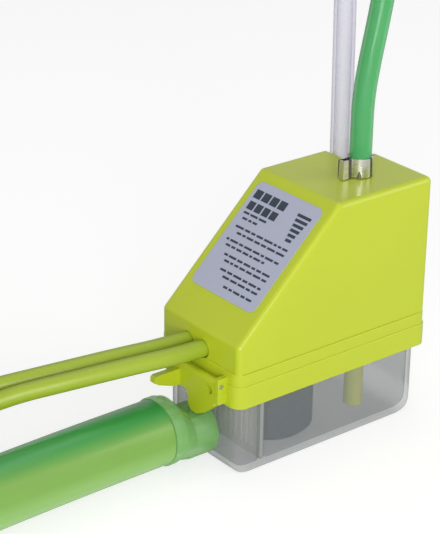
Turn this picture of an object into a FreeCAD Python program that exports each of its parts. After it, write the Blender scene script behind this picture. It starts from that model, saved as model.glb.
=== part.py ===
import FreeCAD, Part
import math
import os
import re
import Sketcher

# Condensate pump: a wedge-shaped housing with a solenoid pump inside, over a clear reservoir that drops
# away downwards. Millimetres. The origin is the middle of the reservoir's underside. +X runs from the
# inlet end to the back end, -Y is the near broad side, +Z is up.

Vector = FreeCAD.Vector
TURNS = {"x": Vector(1, 0, 0), "y": Vector(0, 1, 0), "z": Vector(0, 0, 1)}

document = FreeCAD.newDocument("CondensatePump")
sheet = document.addObject("Spreadsheet::Sheet", "Sizes")
nodes = []


# Housing shell
housing_length = 100  # skirt, end to end
housing_width = 51  # skirt, near side to wall side
housing_top = 103  # height of the top face
skirt_bottom = 30  # height of the skirt's lower edge
skirt_lower = 9.3  # height of the skirt's lower band
skirt_upper = 5  # height of the skirt's upper band
skirt_wall = 2  # wall of the skirt
skirt_corner = 5  # corner radius of the skirt, seen from above
band_step = 0.5  # upper band set in from the lower band
band_round = 0.45  # rounding of the bands' upper edges
body_step = 1.2  # wedge set in from the skirt
shell_wall = 2.5  # wall of the wedge
shell_round = 2.4  # rounding of the wedge's edges
slope_foot = 55.7  # height where the slope starts at the front
slope_run = 48.7  # length of the slope along X
notch_length = 15.8  # corner notch along X
notch_width = 15.8  # corner notch along Y
notch_round = 3  # inner corner of the notch
roof_ledge = 1.3  # roof of the skirt beside the wedge
# Base plate, its cup and its fasteners
plate_thickness = 2.5  # base plate
plate_gap = 0.3  # base plate clear of the skirt
screw_radius = 1.45  # shank of the case screws
screw_length = 9.5  # shank of the case screws below the head
screw_head_radius = 2.75  # head of the case screws
screw_head_height = 2  # head of the case screws
screw_fit = 0.1  # screws clear of their holes
boss_radius = 3.5  # screw boss
boss_height = 8.4  # screw boss above the base plate
boss_rib = 2  # rib from a screw boss to the side wall
boss_inset_long = 9  # screw boss from the end of the skirt
boss_inset_side = 9.5  # screw boss from the side of the skirt
boss_notch_shift = 17  # screw boss moved forward beside the notch
cup_radius = 6  # sensor cup
cup_depth = 12.5  # sensor cup below the base plate
cup_wall = 1.5  # wall of the sensor cup
# Reservoir
tub_gap = 0.7  # reservoir clear of the skirt inside
tub_height = 38.5  # reservoir, underside to rim
tub_wall = 1.8  # side walls of the reservoir
tub_floor = 2  # floor of the reservoir
tub_corner = 6  # corner radius of the reservoir, seen from above
tub_heel = 11  # rounding of the back lower edge
tub_toe = 3  # rounding of the front lower edge
gasket_gap = 0.3  # gasket clear of the rim
gasket_width = 3.3  # gasket frame, across
rib_width = 1  # strainer guide rib, along X
rib_depth = 1.2  # strainer guide rib, out of the wall
rib_height = 24  # strainer guide rib above the floor
strainer_place = 16.4  # strainer plate from the front of the skirt
strainer_thickness = 1.6  # strainer plate
strainer_play = 0.2  # strainer plate clear of its guides
strainer_height = 25  # strainer plate above the floor
strainer_slot = 1.4  # slots of the strainer plate
strainer_pitch = 3.2  # slots of the strainer plate, one to the next
strainer_margin = 3  # slots from the plate's lower and upper edge
# Float
float_place = 37  # float from the front of the skirt
float_radius = 18  # float
float_height = 18.5  # float
float_round = 2.5  # rounding of the float
float_gap = 0.5  # float above the floor at rest
float_bore = 2.9  # bore of the float
float_pin = 2.5  # guide pin of the float
float_pin_height = 22  # guide pin above the floor
magnet_radius = 7  # ring magnet
magnet_bore = 3.6  # bore of the ring magnet
magnet_thickness = 3  # ring magnet
magnet_fit = 0.1  # magnet clear of its pocket
# Inlet neck, cuff and hose
neck_height = 12.5  # inlet axis above the underside, at the reservoir
neck_radius = 11  # cuff at the reservoir
neck_length = 10.5  # straight neck of the cuff
port_radius = 7.9  # spigot on the reservoir
port_bore = 6.4  # bore of that spigot
port_length = 9  # spigot out of the reservoir
port_fit = 0.1  # cuff clear of the spigot
flare_length = 6.2  # flare of the cuff
cuff_radius = 13.2  # cuff at the hose
cuff_body = 2.5  # straight part of the cuff behind its collar
collar_radius = 13.9  # collar of the cuff
collar_length = 3  # collar of the cuff
cuff_rise = 4.1  # hose axis above the neck axis
tail_length = 15  # tail of the cuff inside the hose
tail_fit = 0.1  # tail of the cuff clear of the hose
tail_wall = 1.4  # wall of the cuff's tail
cuff_notch_length = 7.6  # notch over the neck for the latch
cuff_notch_height = 21.3  # height of the notch's floor
drain_radius = 13.3  # inlet hose, outside
drain_wall = 1.4  # inlet hose, wall
# Latch
latch_gap = 0.6  # latch in front of the skirt
latch_thickness = 3.4  # plate of the latch
latch_width = 23.9  # latch at its hinge
latch_near = 9.6  # latch from the near side of the skirt
latch_top = 40.6  # height of the latch's top
latch_tip = 21.9  # height of the tongue's tip
latch_shoulder = 30  # height where the tongue leaves the plate
tongue_width = 16.2  # tongue
tongue_slant = 7.4  # slant on the tongue's near side
fin_thickness = 2.7  # thumb fin
fin_reach = 16.5  # thumb fin out from the skirt
fin_top = 37.3  # height of the fin's top
fin_tip_bottom = 33.1  # height of the fin's tip, below
hinge_height = 38.5  # hinge axis of the latch
pin_radius = 1  # hinge pin
pin_fit = 0.05  # hinge pin clear of the latch
pin_press = 0.02  # hinge pin clear of the ears
ear_width = 2.1  # hinge ear, along Y
ear_gap = 0.3  # hinge ear clear of the latch
ear_bottom = 31  # height of the ears' lower edge
ear_top = 42  # height of the ears' upper edge
eye_radius = 1.8  # eye through the latch
eye_height = 35.7  # height of the eye
eye_inset = 2.8  # eye from the latch's near edge
lug_length = 3.1  # catch lug out of the reservoir
lug_width = 6  # catch lug
lug_height = 2.5  # catch lug
lug_bottom = 24.8  # height of the catch lug
lug_place = 18  # catch lug from the near side of the skirt
# Pump, stacked up its own axis
pump_place = 23.5  # pump axis from the back of the skirt
pump_side = 20.1  # pump axis from the near side of the skirt
manifold_height = 6.8  # inlet manifold
manifold_length = 15.2  # inlet manifold, along X
manifold_width = 18  # inlet manifold, along Y
duct_radius = 1.5  # water way in the manifold
suction_place = 30  # suction tube from the back of the skirt
suction_side = 11  # suction tube from the near side of the skirt
suction_radius = 3.9  # suction tube
suction_bore = 2  # bore of the suction tube
suction_end = 7.5  # height of the suction tube's open end
spigot_radius = 3  # push-in spigots
spigot_bore = 1.8  # bore of the spigots
spigot_fit = 0.1  # spigots clear of their holes
suction_flange = 5.2  # flange of the suction tube
flange_thickness = 1.5  # flanges of the spigots
yoke_length = 34  # yoke frame, along X
yoke_depth = 20  # yoke frame, along Y
yoke_height = 36  # yoke frame
yoke_steel = 2.5  # steel of the yoke frame
yoke_hole = 4.9  # holes of the yoke frame
mount_height = 9  # rubber mount
mount_radius = 2  # rubber mount
mount_spread_long = 25  # rubber mounts, along X
mount_spread_side = 9  # rubber mounts, along Y
bobbin_tube = 5.6  # tube of the bobbin
bobbin_bore = 4.8  # bore of the bobbin
bobbin_flange = 9.9  # flanges of the bobbin
bobbin_sheet = 1.2  # flanges of the bobbin, thickness
winding_gap = 0.2  # winding clear of the bobbin
winding_radius = 9.6  # coil winding
tube_radius = 4.6  # pump tube
tube_bore = 3.6  # bore of the pump tube
piston_radius = 3.54  # piston
piston_length = 16  # piston
piston_bore = 1.2  # bore of the piston
valve_flange = 6.5  # flange of a valve body
valve_flange_height = 2  # flange of a valve body, thickness
valve_stem = 3.55  # stem of a valve body
inlet_stem = 4.2  # stem of the inlet valve body, above its flange
outlet_stem = 6  # stem of the outlet valve body, under its flange
valve_bore = 1  # bore of a valve seat
chamber_radius = 2.2  # ball chamber
chamber_height = 4  # ball chamber
ball_radius = 1.6  # valve ball
ball_gap = 0.02  # valve ball off its seat's edge
piston_spring_radius = 2.7  # piston spring, to the middle of the wire
piston_spring_wire = 0.3  # piston spring, radius of the wire
piston_spring_turns = 5  # piston spring
valve_spring_radius = 1.25  # valve spring, to the middle of the wire
valve_spring_wire = 0.25  # valve spring, radius of the wire
valve_spring_turns = 1.5  # valve spring
spring_gap = 0.1  # springs clear of their seats
ring_wire = 0.9  # o-rings, radius of the section
outlet_flange = 8  # flange of the discharge spigot
outlet_gap = 1.6  # discharge flange above the outlet valve
outlet_reach = 12  # discharge spigot above the top face
barb_height = 2.5  # barbs of the discharge spigot
barb_proud = 0.15  # barbs of the discharge spigot, out of its tube
# Hoses and clamp above the housing
tube_outside = 4.5  # discharge hose and breather tube, outside radius
tube_inside = 3.2  # discharge hose and breather tube, inside radius
hose_seat = 0.4  # hoses above the face they stand on
clamp_band = 0.7  # thickness of the clamp's band
clamp_fit = 0.05  # clamp clear of the hose
clamp_width = 7.8  # height of the clamp's band
clamp_ear = 4.6  # pinched ear of the clamp, out of the band
clamp_ear_width = 3.2  # pinched ear of the clamp, across
breather_place = 10.5  # breather tube from the back of the skirt
breather_side = 5.5  # breather tube from the wall side of the skirt
breather_reach = 15  # breather spigot above its flange
breather_foot = 2.6  # foot of the breather spigot
breather_slot = 3  # vent groove under the base plate, across
breather_slot_depth = 1.2  # vent groove under the base plate
# Circuit board and what it carries
board_thickness = 1.6  # circuit board
board_side = 38.5  # far face of the board from the near side of the skirt
board_bottom = 55.5  # height of the board's lower edge
board_front = 14  # board from the front of the skirt
board_length = 42  # board, along X
board_low = 3.5  # board's short edge at the front
board_tall = 36.5  # board's tall edge
board_level = 6  # level part of the board's top edge
post_radius = 3  # board posts
post_gap = 0.1  # board posts clear of the board
board_screw_radius = 1.2  # board screws
board_screw_head = 2.3  # head of the board screws
board_screw_reach = 5  # board screws behind the board
relay_length = 19  # relay, along X
relay_depth = 10  # relay, out from the board
relay_height = 13  # relay
capacitor_radius = 4.5  # capacitor
capacitor_length = 9  # capacitor, out from the board
sensor_length = 4  # hall sensor
sensor_depth = 1.6  # hall sensor, thickness
sensor_height = 3.2  # hall sensor
cutout_length = 7  # thermal cut-out, along X
cutout_depth = 2.4  # thermal cut-out, along Y
cutout_height = 9  # thermal cut-out
cutout_gap = 0.2  # thermal cut-out clear of the winding
# Cables, their clamp and their terminals
cable_radius = 3.6  # cables
cable_height = 47.5  # cables where they leave the housing
cable_near_side = 23.3  # near cable from the near side of the skirt
cable_far_side = 32.8  # far cable from the near side of the skirt
cable_hole_fit = 0.15  # cables clear of the housing
grip_fit = 0.05  # cables clear of their clamp
grip_place = 13  # cable clamp from the front of the skirt
grip_length = 5  # cable clamp, along X
grip_width = 31  # cable clamp, along Y
grip_height = 9  # cable clamp
grip_screw_inset = 3.2  # clamp screws from the clamp's ends
core_radius = 1.1  # cores of the cables
core_ring = 1.4  # cores from the middle of a cable
terminal_place = 24  # terminal block from the front of the skirt
terminal_length = 9  # terminal block, along X
terminal_width = 24  # terminal block, along Y
terminal_height = 10  # terminal block
stub_length = 24  # far end of a cable out of its coil
bare_length = 12  # stripped cores at the far end of a cable
coil_inner = 24.8  # put-away coil, inner radius
coil_outer = 46.4  # put-away coil, outer radius
coil_height = 19.6  # put-away coil
coil_crown = 3.6  # half width of the put-away coil's top
coil_stack = 21.9  # alarm cable's coil above the power cable's
tie_thickness = 0.9  # tie of a put-away coil
tie_width = 8  # tie of a put-away coil, across
tie_fit = 0.1  # tie clear of the coil
# Label
label_length = 48.7  # label down the slope
label_width = 38.5  # label
label_thickness = 0.3  # label
label_corner = 3  # corner radius of the label
label_drop = 4.9  # label below the top of the slope

# Each size above is a cell of the sheet under its own name, and every sketch and solid is bound to it.
aliases = [name for name, amount in globals().items() if isinstance(amount, (int, float))]
for row, name in enumerate(aliases, 1):
    sheet.set("A%d" % row, name.replace("_", " "))
    sheet.set("B%d" % row, str(globals()[name]))
    sheet.setAlias("B%d" % row, name)

document.recompute()


def bound(text):
    """An expression on the sheet: every alias in the text gets the sheet's name in front."""
    return re.sub(r"[A-Za-z_]+", lambda word: "Sizes." + word.group(0) if word.group(0) in aliases
                  else word.group(0), text)


def number(text):
    """The value that such an expression has now."""
    return float(sheet.evalExpression(bound(text)))


def place(item, at, turn=None):
    """Tie an item's place to the sheet; turn is an axis and an angle in degrees."""
    if turn:
        item.Placement = FreeCAD.Placement(Vector(), FreeCAD.Rotation(TURNS[turn[0]], number(turn[1])))
        item.setExpression("Placement.Rotation.Angle", bound(turn[1]))
    for axis, text in zip("xyz", at):
        item.setExpression("Placement.Base." + axis, bound(text))


def block(name, length, width, height, at):
    """A box whose middle of the underside is at the given place."""
    item = document.addObject("Part::Box", name)
    item.setExpression("Length", bound(length))
    item.setExpression("Width", bound(width))
    item.setExpression("Height", bound(height))
    place(item, ("%s - (%s) / 2" % (at[0], length), "%s - (%s) / 2" % (at[1], width), at[2]))
    return item


def rod(name, radius, height, at, axis="z"):
    """A cylinder from the given place along +Z, +X or +Y."""
    item = document.addObject("Part::Cylinder", name)
    item.setExpression("Radius", bound(radius))
    item.setExpression("Height", bound(height))
    turns = {"z": None, "x": ("y", "90"), "y": ("x", "-90")}
    place(item, at, turns[axis])
    return item


def pipe(name, radius, bore, height, at, axis="z"):
    """A cylinder with a bore right through it."""
    outside = rod(name + "_outside", radius, height, at, axis)
    inside = rod(name + "_inside", bore, height, at, axis)
    return cut(name, outside, inside)


def fuse(name, *pieces):
    """Several pieces as one solid."""
    item = document.addObject("Part::MultiFuse", name)
    item.Shapes = list(pieces)
    item.Refine = True
    return item


def cut(name, base, *tools):
    """A base less one or more tools."""
    item = document.addObject("Part::Cut", name)
    item.Base = base
    item.Tool = tools[0] if len(tools) == 1 else fuse(name + "_tools", *tools)
    item.Refine = True
    return item


def common(name, *pieces):
    """What several pieces share."""
    item = document.addObject("Part::MultiCommon", name)
    item.Shapes = list(pieces)
    return item


def group(name, pieces):
    """Like pieces that share a node, still separate solids."""
    item = document.addObject("Part::Compound", name)
    item.Links = list(pieces)
    return item


def along(direction):
    """A test for straight edges that run along the given direction."""
    def test(edge):
        if edge.Curve.TypeId != "Part::GeomLine":
            return False
        return abs(abs(edge.Curve.Direction.dot(direction)) - 1) < 1e-6
    return test


def soften(name, source, choose, radius):
    """Round the edges of a source that the test chooses."""
    document.recompute()
    amount = number(radius)
    item = document.addObject("Part::Fillet", name)
    item.Base = source
    item.Edges = [(index + 1, amount, amount) for index, edge in enumerate(source.Shape.Edges) if choose(edge)]
    return item


def upright(edge):
    """Edges that stand up."""
    return along(TURNS["z"])(edge)


def level_at(height):
    """A test for edges that lie level at the given height."""
    level = number(height)
    return lambda edge: abs(edge.BoundBox.ZMin - level) < 1e-4 and abs(edge.BoundBox.ZMax - level) < 1e-4


def slab(name, length, width, height, at, corner):
    """A box with its four standing edges rounded."""
    return soften(name, block(name + "_block", length, width, height, at), upright, corner)


def outline(body, name, plane, points):
    """A closed sketch of straight lines on one of the body's own planes, each corner tied to the sheet."""
    sketch = body.newObject("Sketcher::SketchObject", name)
    sketch.AttachmentSupport = [(part, "") for part in body.Origin.OriginFeatures if part.Role == plane]
    sketch.MapMode = "FlatFace"
    corners = [Vector(number(across), number(up), 0) for across, up in points]
    count = len(corners)
    for index in range(count):
        sketch.addGeometry(Part.LineSegment(corners[index], corners[(index + 1) % count]))
    for index in range(count):
        sketch.addConstraint(Sketcher.Constraint("Coincident", index, 2, (index + 1) % count, 1))
    for index, (across, up) in enumerate(points):
        for kind, text in (("DistanceX", across), ("DistanceY", up)):
            found = sketch.addConstraint(Sketcher.Constraint(kind, -1, 1, index, 1, number(text)))
            sketch.setExpression("Constraints[%d]" % found, bound(text))
    return sketch


def extruded(name, plane, points, thickness, at, turn=None):
    """A body padded both ways from an outline on one of its planes."""
    body = document.addObject("PartDesign::Body", name)
    sketch = outline(body, name + "_outline", plane, points)
    pad = body.newObject("PartDesign::Pad", name + "_pad")
    pad.Profile = sketch
    pad.Midplane = True
    pad.setExpression("Length", bound(thickness))
    place(body, at, turn)
    return body


def rounded(body, name, choose, radius):
    """A fillet on the chosen edges of a body's last feature."""
    document.recompute()
    last = body.Tip
    names = ["Edge%d" % (index + 1) for index, edge in enumerate(last.Shape.Edges) if choose(edge)]
    fillet = body.newObject("PartDesign::Fillet", name)
    fillet.Base = (last, names)
    fillet.setExpression("Radius", bound(radius))
    return body


def turned(name, points, at):
    """A body revolved about its own Z axis; points are radius and height."""
    body = document.addObject("PartDesign::Body", name)
    sketch = outline(body, name + "_outline", "XZ_Plane", points)
    revolution = body.newObject("PartDesign::Revolution", name + "_revolution")
    revolution.Profile = sketch
    revolution.ReferenceAxis = (sketch, ["V_Axis"])
    revolution.Angle = 360
    place(body, at)
    return body


def node(label, item):
    """Name a finished sub-part; its label is its file's name."""
    item.Label = label
    nodes.append(item)
    return item


# Places that several pieces share
FRONT = "(-housing_length / 2)"
STEP_TOP = "(skirt_bottom + skirt_lower + skirt_upper)"
PLATE_TOP = "(skirt_bottom + skirt_lower + skirt_upper - roof_ledge)"
PLATE_BOTTOM = "(%s - plate_thickness)" % PLATE_TOP
WEDGE_FRONT = "(-housing_length / 2 + body_step)"
WEDGE_BACK = "(housing_length / 2 - body_step)"
SLOPE_TAN = "((housing_top - slope_foot) / slope_run)"
SLOPE_STRETCH = "sqrt(1 + %s ^ 2)" % SLOPE_TAN
NOTCH_X = "(housing_length / 2 - body_step - notch_length)"
NOTCH_Y = "(housing_width / 2 - body_step - notch_width)"
TUB_INSET = "(skirt_wall + tub_gap)"
TUB_LENGTH = "(housing_length - 2 * skirt_wall - 2 * tub_gap)"
TUB_WIDTH = "(housing_width - 2 * skirt_wall - 2 * tub_gap)"
TUB_FRONT = "(-housing_length / 2 + skirt_wall + tub_gap)"
FLOAT_X = "(float_place - housing_length / 2)"
PUMP_X = "(housing_length / 2 - pump_place)"
PUMP_Y = "(pump_side - housing_width / 2)"
SUCTION_X = "(housing_length / 2 - suction_place)"
SUCTION_Y = "(suction_side - housing_width / 2)"
BREATHER_X = "(housing_length / 2 - breather_place)"
BREATHER_Y = "(housing_width / 2 - breather_side)"
HINGE_X = "(-housing_length / 2 - latch_gap - latch_thickness / 2)"
LATCH_NEAR = "(latch_near - housing_width / 2)"
NEAR_CABLE_Y = "(cable_near_side - housing_width / 2)"
FAR_CABLE_Y = "(cable_far_side - housing_width / 2)"
BOARD_FACE = "(board_side - housing_width / 2 - board_thickness)"


def wedge_points(wall, foot):
    """The side view of the wedge, or of its hollow one wall further in, from the given height up."""
    front = "%s + %s" % (WEDGE_FRONT, wall)
    back = "%s - %s" % (WEDGE_BACK, wall)
    top = "housing_top - %s" % wall
    slope_low = "slope_foot + %s * %s - %s * %s" % (SLOPE_TAN, wall, wall, SLOPE_STRETCH)
    slope_high = "%s + slope_run + %s * (%s - 1) / %s" % (WEDGE_FRONT, wall, SLOPE_STRETCH, SLOPE_TAN)
    return [(front, foot), (back, foot), (back, top), (slope_high, top), (front, slope_low)]


def boss_places():
    """The four screw bosses; the one beside the notch stands further forward."""
    ahead = "(-housing_length / 2 + boss_inset_long)"
    behind = "(housing_length / 2 - boss_inset_long)"
    near = "(-housing_width / 2 + boss_inset_side)"
    far = "(housing_width / 2 - boss_inset_side)"
    return [(ahead, near), (ahead, far), (behind, near), ("(%s - boss_notch_shift)" % behind, far)]


def board_posts():
    """The two posts that carry the board, as X and Z."""
    ahead = "(board_front + board_length / 3 - housing_length / 2)"
    behind = "(board_front + board_length - 1.5 * post_radius - housing_length / 2)"
    return [(ahead, "(board_bottom + post_radius + 1)"), (behind, "(board_bottom + board_tall - 3 * post_radius)")]


def upper_housing():
    """The shell: two skirt bands, a wedge with a corner notch, hinge ears, bosses and board posts."""
    wedge = extruded("wedge", "XZ_Plane", wedge_points("0", STEP_TOP),
                     "housing_width - 2 * body_step", ("0", "0", "0"))
    foot = number(STEP_TOP)
    rounded(wedge, "wedge_rounding", lambda edge: edge.CenterOfMass.z > foot + 0.1, "shell_round")
    reach = "2 * notch_length"
    side = "2 * notch_width"
    rise = "(housing_top - %s + 1)" % STEP_TOP
    notch = slab("notch", reach, side, rise,
                 (NOTCH_X + " + notch_length", NOTCH_Y + " + notch_width", STEP_TOP), "notch_round")
    notched = cut("wedge_notched", wedge, notch)
    lower = slab("skirt_lower_band", "housing_length", "housing_width", "skirt_lower",
                 ("0", "0", "skirt_bottom"), "skirt_corner")
    lower = soften("skirt_lower_softened", lower, level_at("skirt_bottom + skirt_lower"), "band_round")
    upper = slab("skirt_upper_band", "housing_length - 2 * band_step", "housing_width - 2 * band_step",
                 "skirt_upper", ("0", "0", "skirt_bottom + skirt_lower"), "skirt_corner - band_step")
    upper = soften("skirt_upper_softened", upper, level_at(STEP_TOP), "band_round")
    ears = []
    ear_depth = "(latch_gap + latch_thickness)"
    for name, middle in (("near", LATCH_NEAR + " - ear_gap - ear_width / 2"),
                         ("far", LATCH_NEAR + " + latch_width + ear_gap + ear_width / 2")):
        ears.append(block(name + "_ear", ear_depth + " + skirt_wall / 2", "ear_width", "ear_top - ear_bottom",
                          (FRONT + " - %s / 2 + skirt_wall / 4" % ear_depth, middle, "ear_bottom")))
    outside = fuse("housing_outside", notched, lower, upper, *ears)

    hollow = extruded("wedge_hollow", "XZ_Plane", wedge_points("shell_wall", PLATE_TOP),
                      "housing_width - 2 * body_step - 2 * shell_wall", ("0", "0", "0"))
    guard = block("notch_guard", "notch_length + body_step + 2 * shell_wall",
                  "notch_width + body_step + 2 * shell_wall", "housing_top - %s" % PLATE_TOP,
                  (NOTCH_X + " - shell_wall + (notch_length + body_step + 2 * shell_wall) / 2",
                   NOTCH_Y + " - shell_wall + (notch_width + body_step + 2 * shell_wall) / 2", PLATE_TOP))
    hollow_notched = cut("wedge_hollow_notched", hollow, guard)
    skirt_hollow = slab("skirt_hollow", "housing_length - 2 * skirt_wall", "housing_width - 2 * skirt_wall",
                        "%s - skirt_bottom" % PLATE_TOP, ("0", "0", "skirt_bottom"), "skirt_corner - skirt_wall")
    shell = cut("housing_shell", outside, hollow_notched, skirt_hollow)

    bosses = [rod("boss_%d" % index, "boss_radius", "boss_height", (x, y, PLATE_TOP))
              for index, (x, y) in enumerate(boss_places())]
    for index, (x, y) in enumerate(boss_places()):
        side = "-" if index in (0, 2) else "+"
        wall = "(%s (housing_width / 2 - body_step - shell_wall / 2))" % side
        bosses.append(block("boss_rib_%d" % index, "boss_rib", "boss_inset_side - body_step - shell_wall / 2",
                            "boss_height", (x, "(%s + %s) / 2" % (y, wall), PLATE_TOP)))
    post_length = "(housing_width / 2 - body_step - shell_wall / 2 - board_side + housing_width / 2 - post_gap)"
    posts = [rod("board_post_%d" % index, "post_radius", post_length,
                 (x, "board_side - housing_width / 2 + post_gap", z), "y")
             for index, (x, z) in enumerate(board_posts())]
    solid = fuse("housing_solid", shell, *(bosses + posts))

    holes = [rod("boss_hole_%d" % index, "screw_radius + screw_fit",
                 "screw_length - plate_thickness + 2 * screw_fit", (x, y, PLATE_TOP))
             for index, (x, y) in enumerate(boss_places())]
    for index, (x, z) in enumerate(board_posts()):
        holes.append(rod("post_hole_%d" % index, "board_screw_radius + screw_fit",
                         "board_screw_reach + screw_fit", (x, "board_side - housing_width / 2", z), "y"))
    for name, y in (("near", NEAR_CABLE_Y), ("far", FAR_CABLE_Y)):
        holes.append(rod(name + "_cable_hole", "cable_radius + cable_hole_fit", "2 * shell_wall + body_step",
                         (FRONT, y, "cable_height"), "x"))
    holes.append(rod("discharge_hole", "spigot_radius + spigot_fit", "2 * shell_wall",
                     (PUMP_X, PUMP_Y, "housing_top - 1.5 * shell_wall")))
    holes.append(rod("breather_hole", "breather_foot + spigot_fit", "2 * roof_ledge",
                     (BREATHER_X, BREATHER_Y, PLATE_TOP)))
    holes.append(rod("hinge_hole", "pin_radius + pin_press", "latch_width + 2 * ear_gap + 2 * ear_width",
                     (HINGE_X, LATCH_NEAR + " - ear_gap - ear_width", "hinge_height"), "y"))
    node("upper_housing", cut("housing", solid, *holes))


def base_plate():
    """The plate that closes the housing, with the sensor cup, the vent groove and the screw holes."""
    plate = slab("plate", "housing_length - 2 * skirt_wall - 2 * plate_gap",
                 "housing_width - 2 * skirt_wall - 2 * plate_gap", "plate_thickness", ("0", "0", PLATE_BOTTOM),
                 "skirt_corner - skirt_wall - plate_gap")
    cup = rod("cup", "cup_radius", "cup_depth + plate_thickness / 2", (FLOAT_X, "0", PLATE_BOTTOM + " - cup_depth"))
    solid = fuse("plate_and_cup", plate, cup)
    holes = [rod("cup_hollow", "cup_radius - cup_wall", "cup_depth + plate_thickness",
                 (FLOAT_X, "0", PLATE_BOTTOM + " - cup_depth + cup_wall")),
             rod("suction_hole", "spigot_radius + spigot_fit", "plate_thickness",
                 (SUCTION_X, SUCTION_Y, PLATE_BOTTOM)),
             rod("vent_hole", "breather_foot + spigot_fit", "plate_thickness",
                 (BREATHER_X, BREATHER_Y, PLATE_BOTTOM)),
             block("vent_groove", "breather_slot", "2.5 * breather_foot", "breather_slot_depth",
                   (BREATHER_X, BREATHER_Y + " - 1.25 * breather_foot", PLATE_BOTTOM))]
    holes += [rod("plate_hole_%d" % index, "screw_radius + screw_fit", "plate_thickness", (x, y, PLATE_BOTTOM))
              for index, (x, y) in enumerate(boss_places())]
    for index, y in enumerate(grip_screw_places()):
        holes.append(rod("grip_plate_hole_%d" % index, "board_screw_radius + screw_fit", "plate_thickness",
                         ("grip_place + grip_length / 2 - housing_length / 2", y, PLATE_BOTTOM)))
    node("base_plate", cut("plate_drilled", solid, *holes))

    screws = []
    for index, (x, y) in enumerate(boss_places()):
        head = rod("screw_head_%d" % index, "screw_head_radius", "screw_head_height",
                   (x, y, PLATE_BOTTOM + " - screw_head_height"))
        shank = rod("screw_shank_%d" % index, "screw_radius", "screw_length", (x, y, PLATE_BOTTOM))
        slot = block("screw_slot_%d" % index, "screw_head_radius", "screw_head_height / 3",
                     "screw_head_height / 2", (x, y, PLATE_BOTTOM + " - screw_head_height"))
        screws.append(cut("screw_%d" % index, fuse("screw_solid_%d" % index, head, shank), slot))
    node("base_screws", group("screws", screws))

    frame = slab("gasket_outside", "housing_length - 2 * skirt_wall - 2 * plate_gap",
                 "housing_width - 2 * skirt_wall - 2 * plate_gap", PLATE_BOTTOM + " - tub_height - gasket_gap",
                 ("0", "0", "tub_height + gasket_gap"), "skirt_corner - skirt_wall - plate_gap")
    inside = slab("gasket_inside", "housing_length - 2 * skirt_wall - 2 * plate_gap - 2 * gasket_width",
                  "housing_width - 2 * skirt_wall - 2 * plate_gap - 2 * gasket_width",
                  PLATE_BOTTOM + " - tub_height - gasket_gap", ("0", "0", "tub_height + gasket_gap"),
                  "skirt_corner - skirt_wall")
    node("reservoir_gasket", cut("gasket", frame, inside))


def label():
    """The rating label on the slope."""
    middle = "(label_drop + label_length / 2)"
    stretch = SLOPE_STRETCH
    x = "%s + slope_run - %s / %s" % (WEDGE_FRONT, middle, stretch)
    z = "housing_top - %s * %s / %s" % (middle, SLOPE_TAN, stretch)
    lift = "label_thickness / 2"
    body = extruded("label", "XY_Plane",
                    [("-label_length / 2", "-label_width / 2"), ("label_length / 2", "-label_width / 2"),
                     ("label_length / 2", "label_width / 2"), ("-label_length / 2", "label_width / 2")],
                    "label_thickness",
                    ("%s - %s * %s / %s" % (x, lift, SLOPE_TAN, stretch), "0", "%s + %s / %s" % (z, lift, stretch)),
                    ("y", "-atan(%s)" % SLOPE_TAN))
    rounded(body, "label_rounding", upright, "label_corner")
    node("rating_label", body)


def latch():
    """The latch: a plate with a hanging tongue and a thumb fin, on a pin between the housing's ears."""
    near = LATCH_NEAR
    far = LATCH_NEAR + " + latch_width"
    tongue_far = LATCH_NEAR + " + tongue_width"
    points = [(near, "latch_top"), (near, "latch_shoulder - 0.5"),
              (near + " + 0.8 * tongue_slant", "latch_tip + 0.3 * (latch_shoulder - latch_tip)"),
              (near + " + 1.45 * tongue_slant", "latch_tip"), (tongue_far + " - 2", "latch_tip"),
              (tongue_far, "latch_tip + 2.4"), (tongue_far, "latch_shoulder - 1.6"),
              (tongue_far + " + 1.6", "latch_shoulder"), (far, "latch_shoulder"), (far, "latch_top")]
    plate = extruded("latch_plate", "YZ_Plane", points, "latch_thickness", (HINGE_X, "0", "0"))
    rounded(plate, "latch_top_rounding",
            lambda edge: along(TURNS["y"])(edge) and edge.CenterOfMass.z > number("latch_top") - 0.1,
            "latch_thickness / 2.2")
    back = FRONT + " - latch_gap - latch_thickness / 2"
    tip = FRONT + " - fin_reach"
    fin = extruded("latch_fin", "XZ_Plane",
                   [(back, "latch_shoulder"), (back, "fin_top"), (tip + " + 0.8", "fin_top"),
                    (tip, "fin_top - 0.8"), (tip, "fin_tip_bottom + 1.4"), (tip + " + 2.2", "fin_tip_bottom"),
                    (tip + " + 9.3", "latch_shoulder + 0.5")],
                   "fin_thickness", ("0", far + " - fin_thickness / 2", "0"))
    solid = fuse("latch_solid", plate, fin)
    bore = rod("latch_bore", "pin_radius + pin_fit", "latch_width", (HINGE_X, near, "hinge_height"), "y")
    eye = rod("latch_eye", "eye_radius", "latch_thickness",
              (FRONT + " - latch_gap - latch_thickness", near + " + eye_inset", "eye_height"), "x")
    node("reservoir_latch", cut("latch", solid, bore, eye))
    node("latch_pin", rod("pin", "pin_radius", "latch_width + 2 * ear_gap + 2 * ear_width",
                          (HINGE_X, near + " - ear_gap - ear_width", "hinge_height"), "y"))


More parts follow.
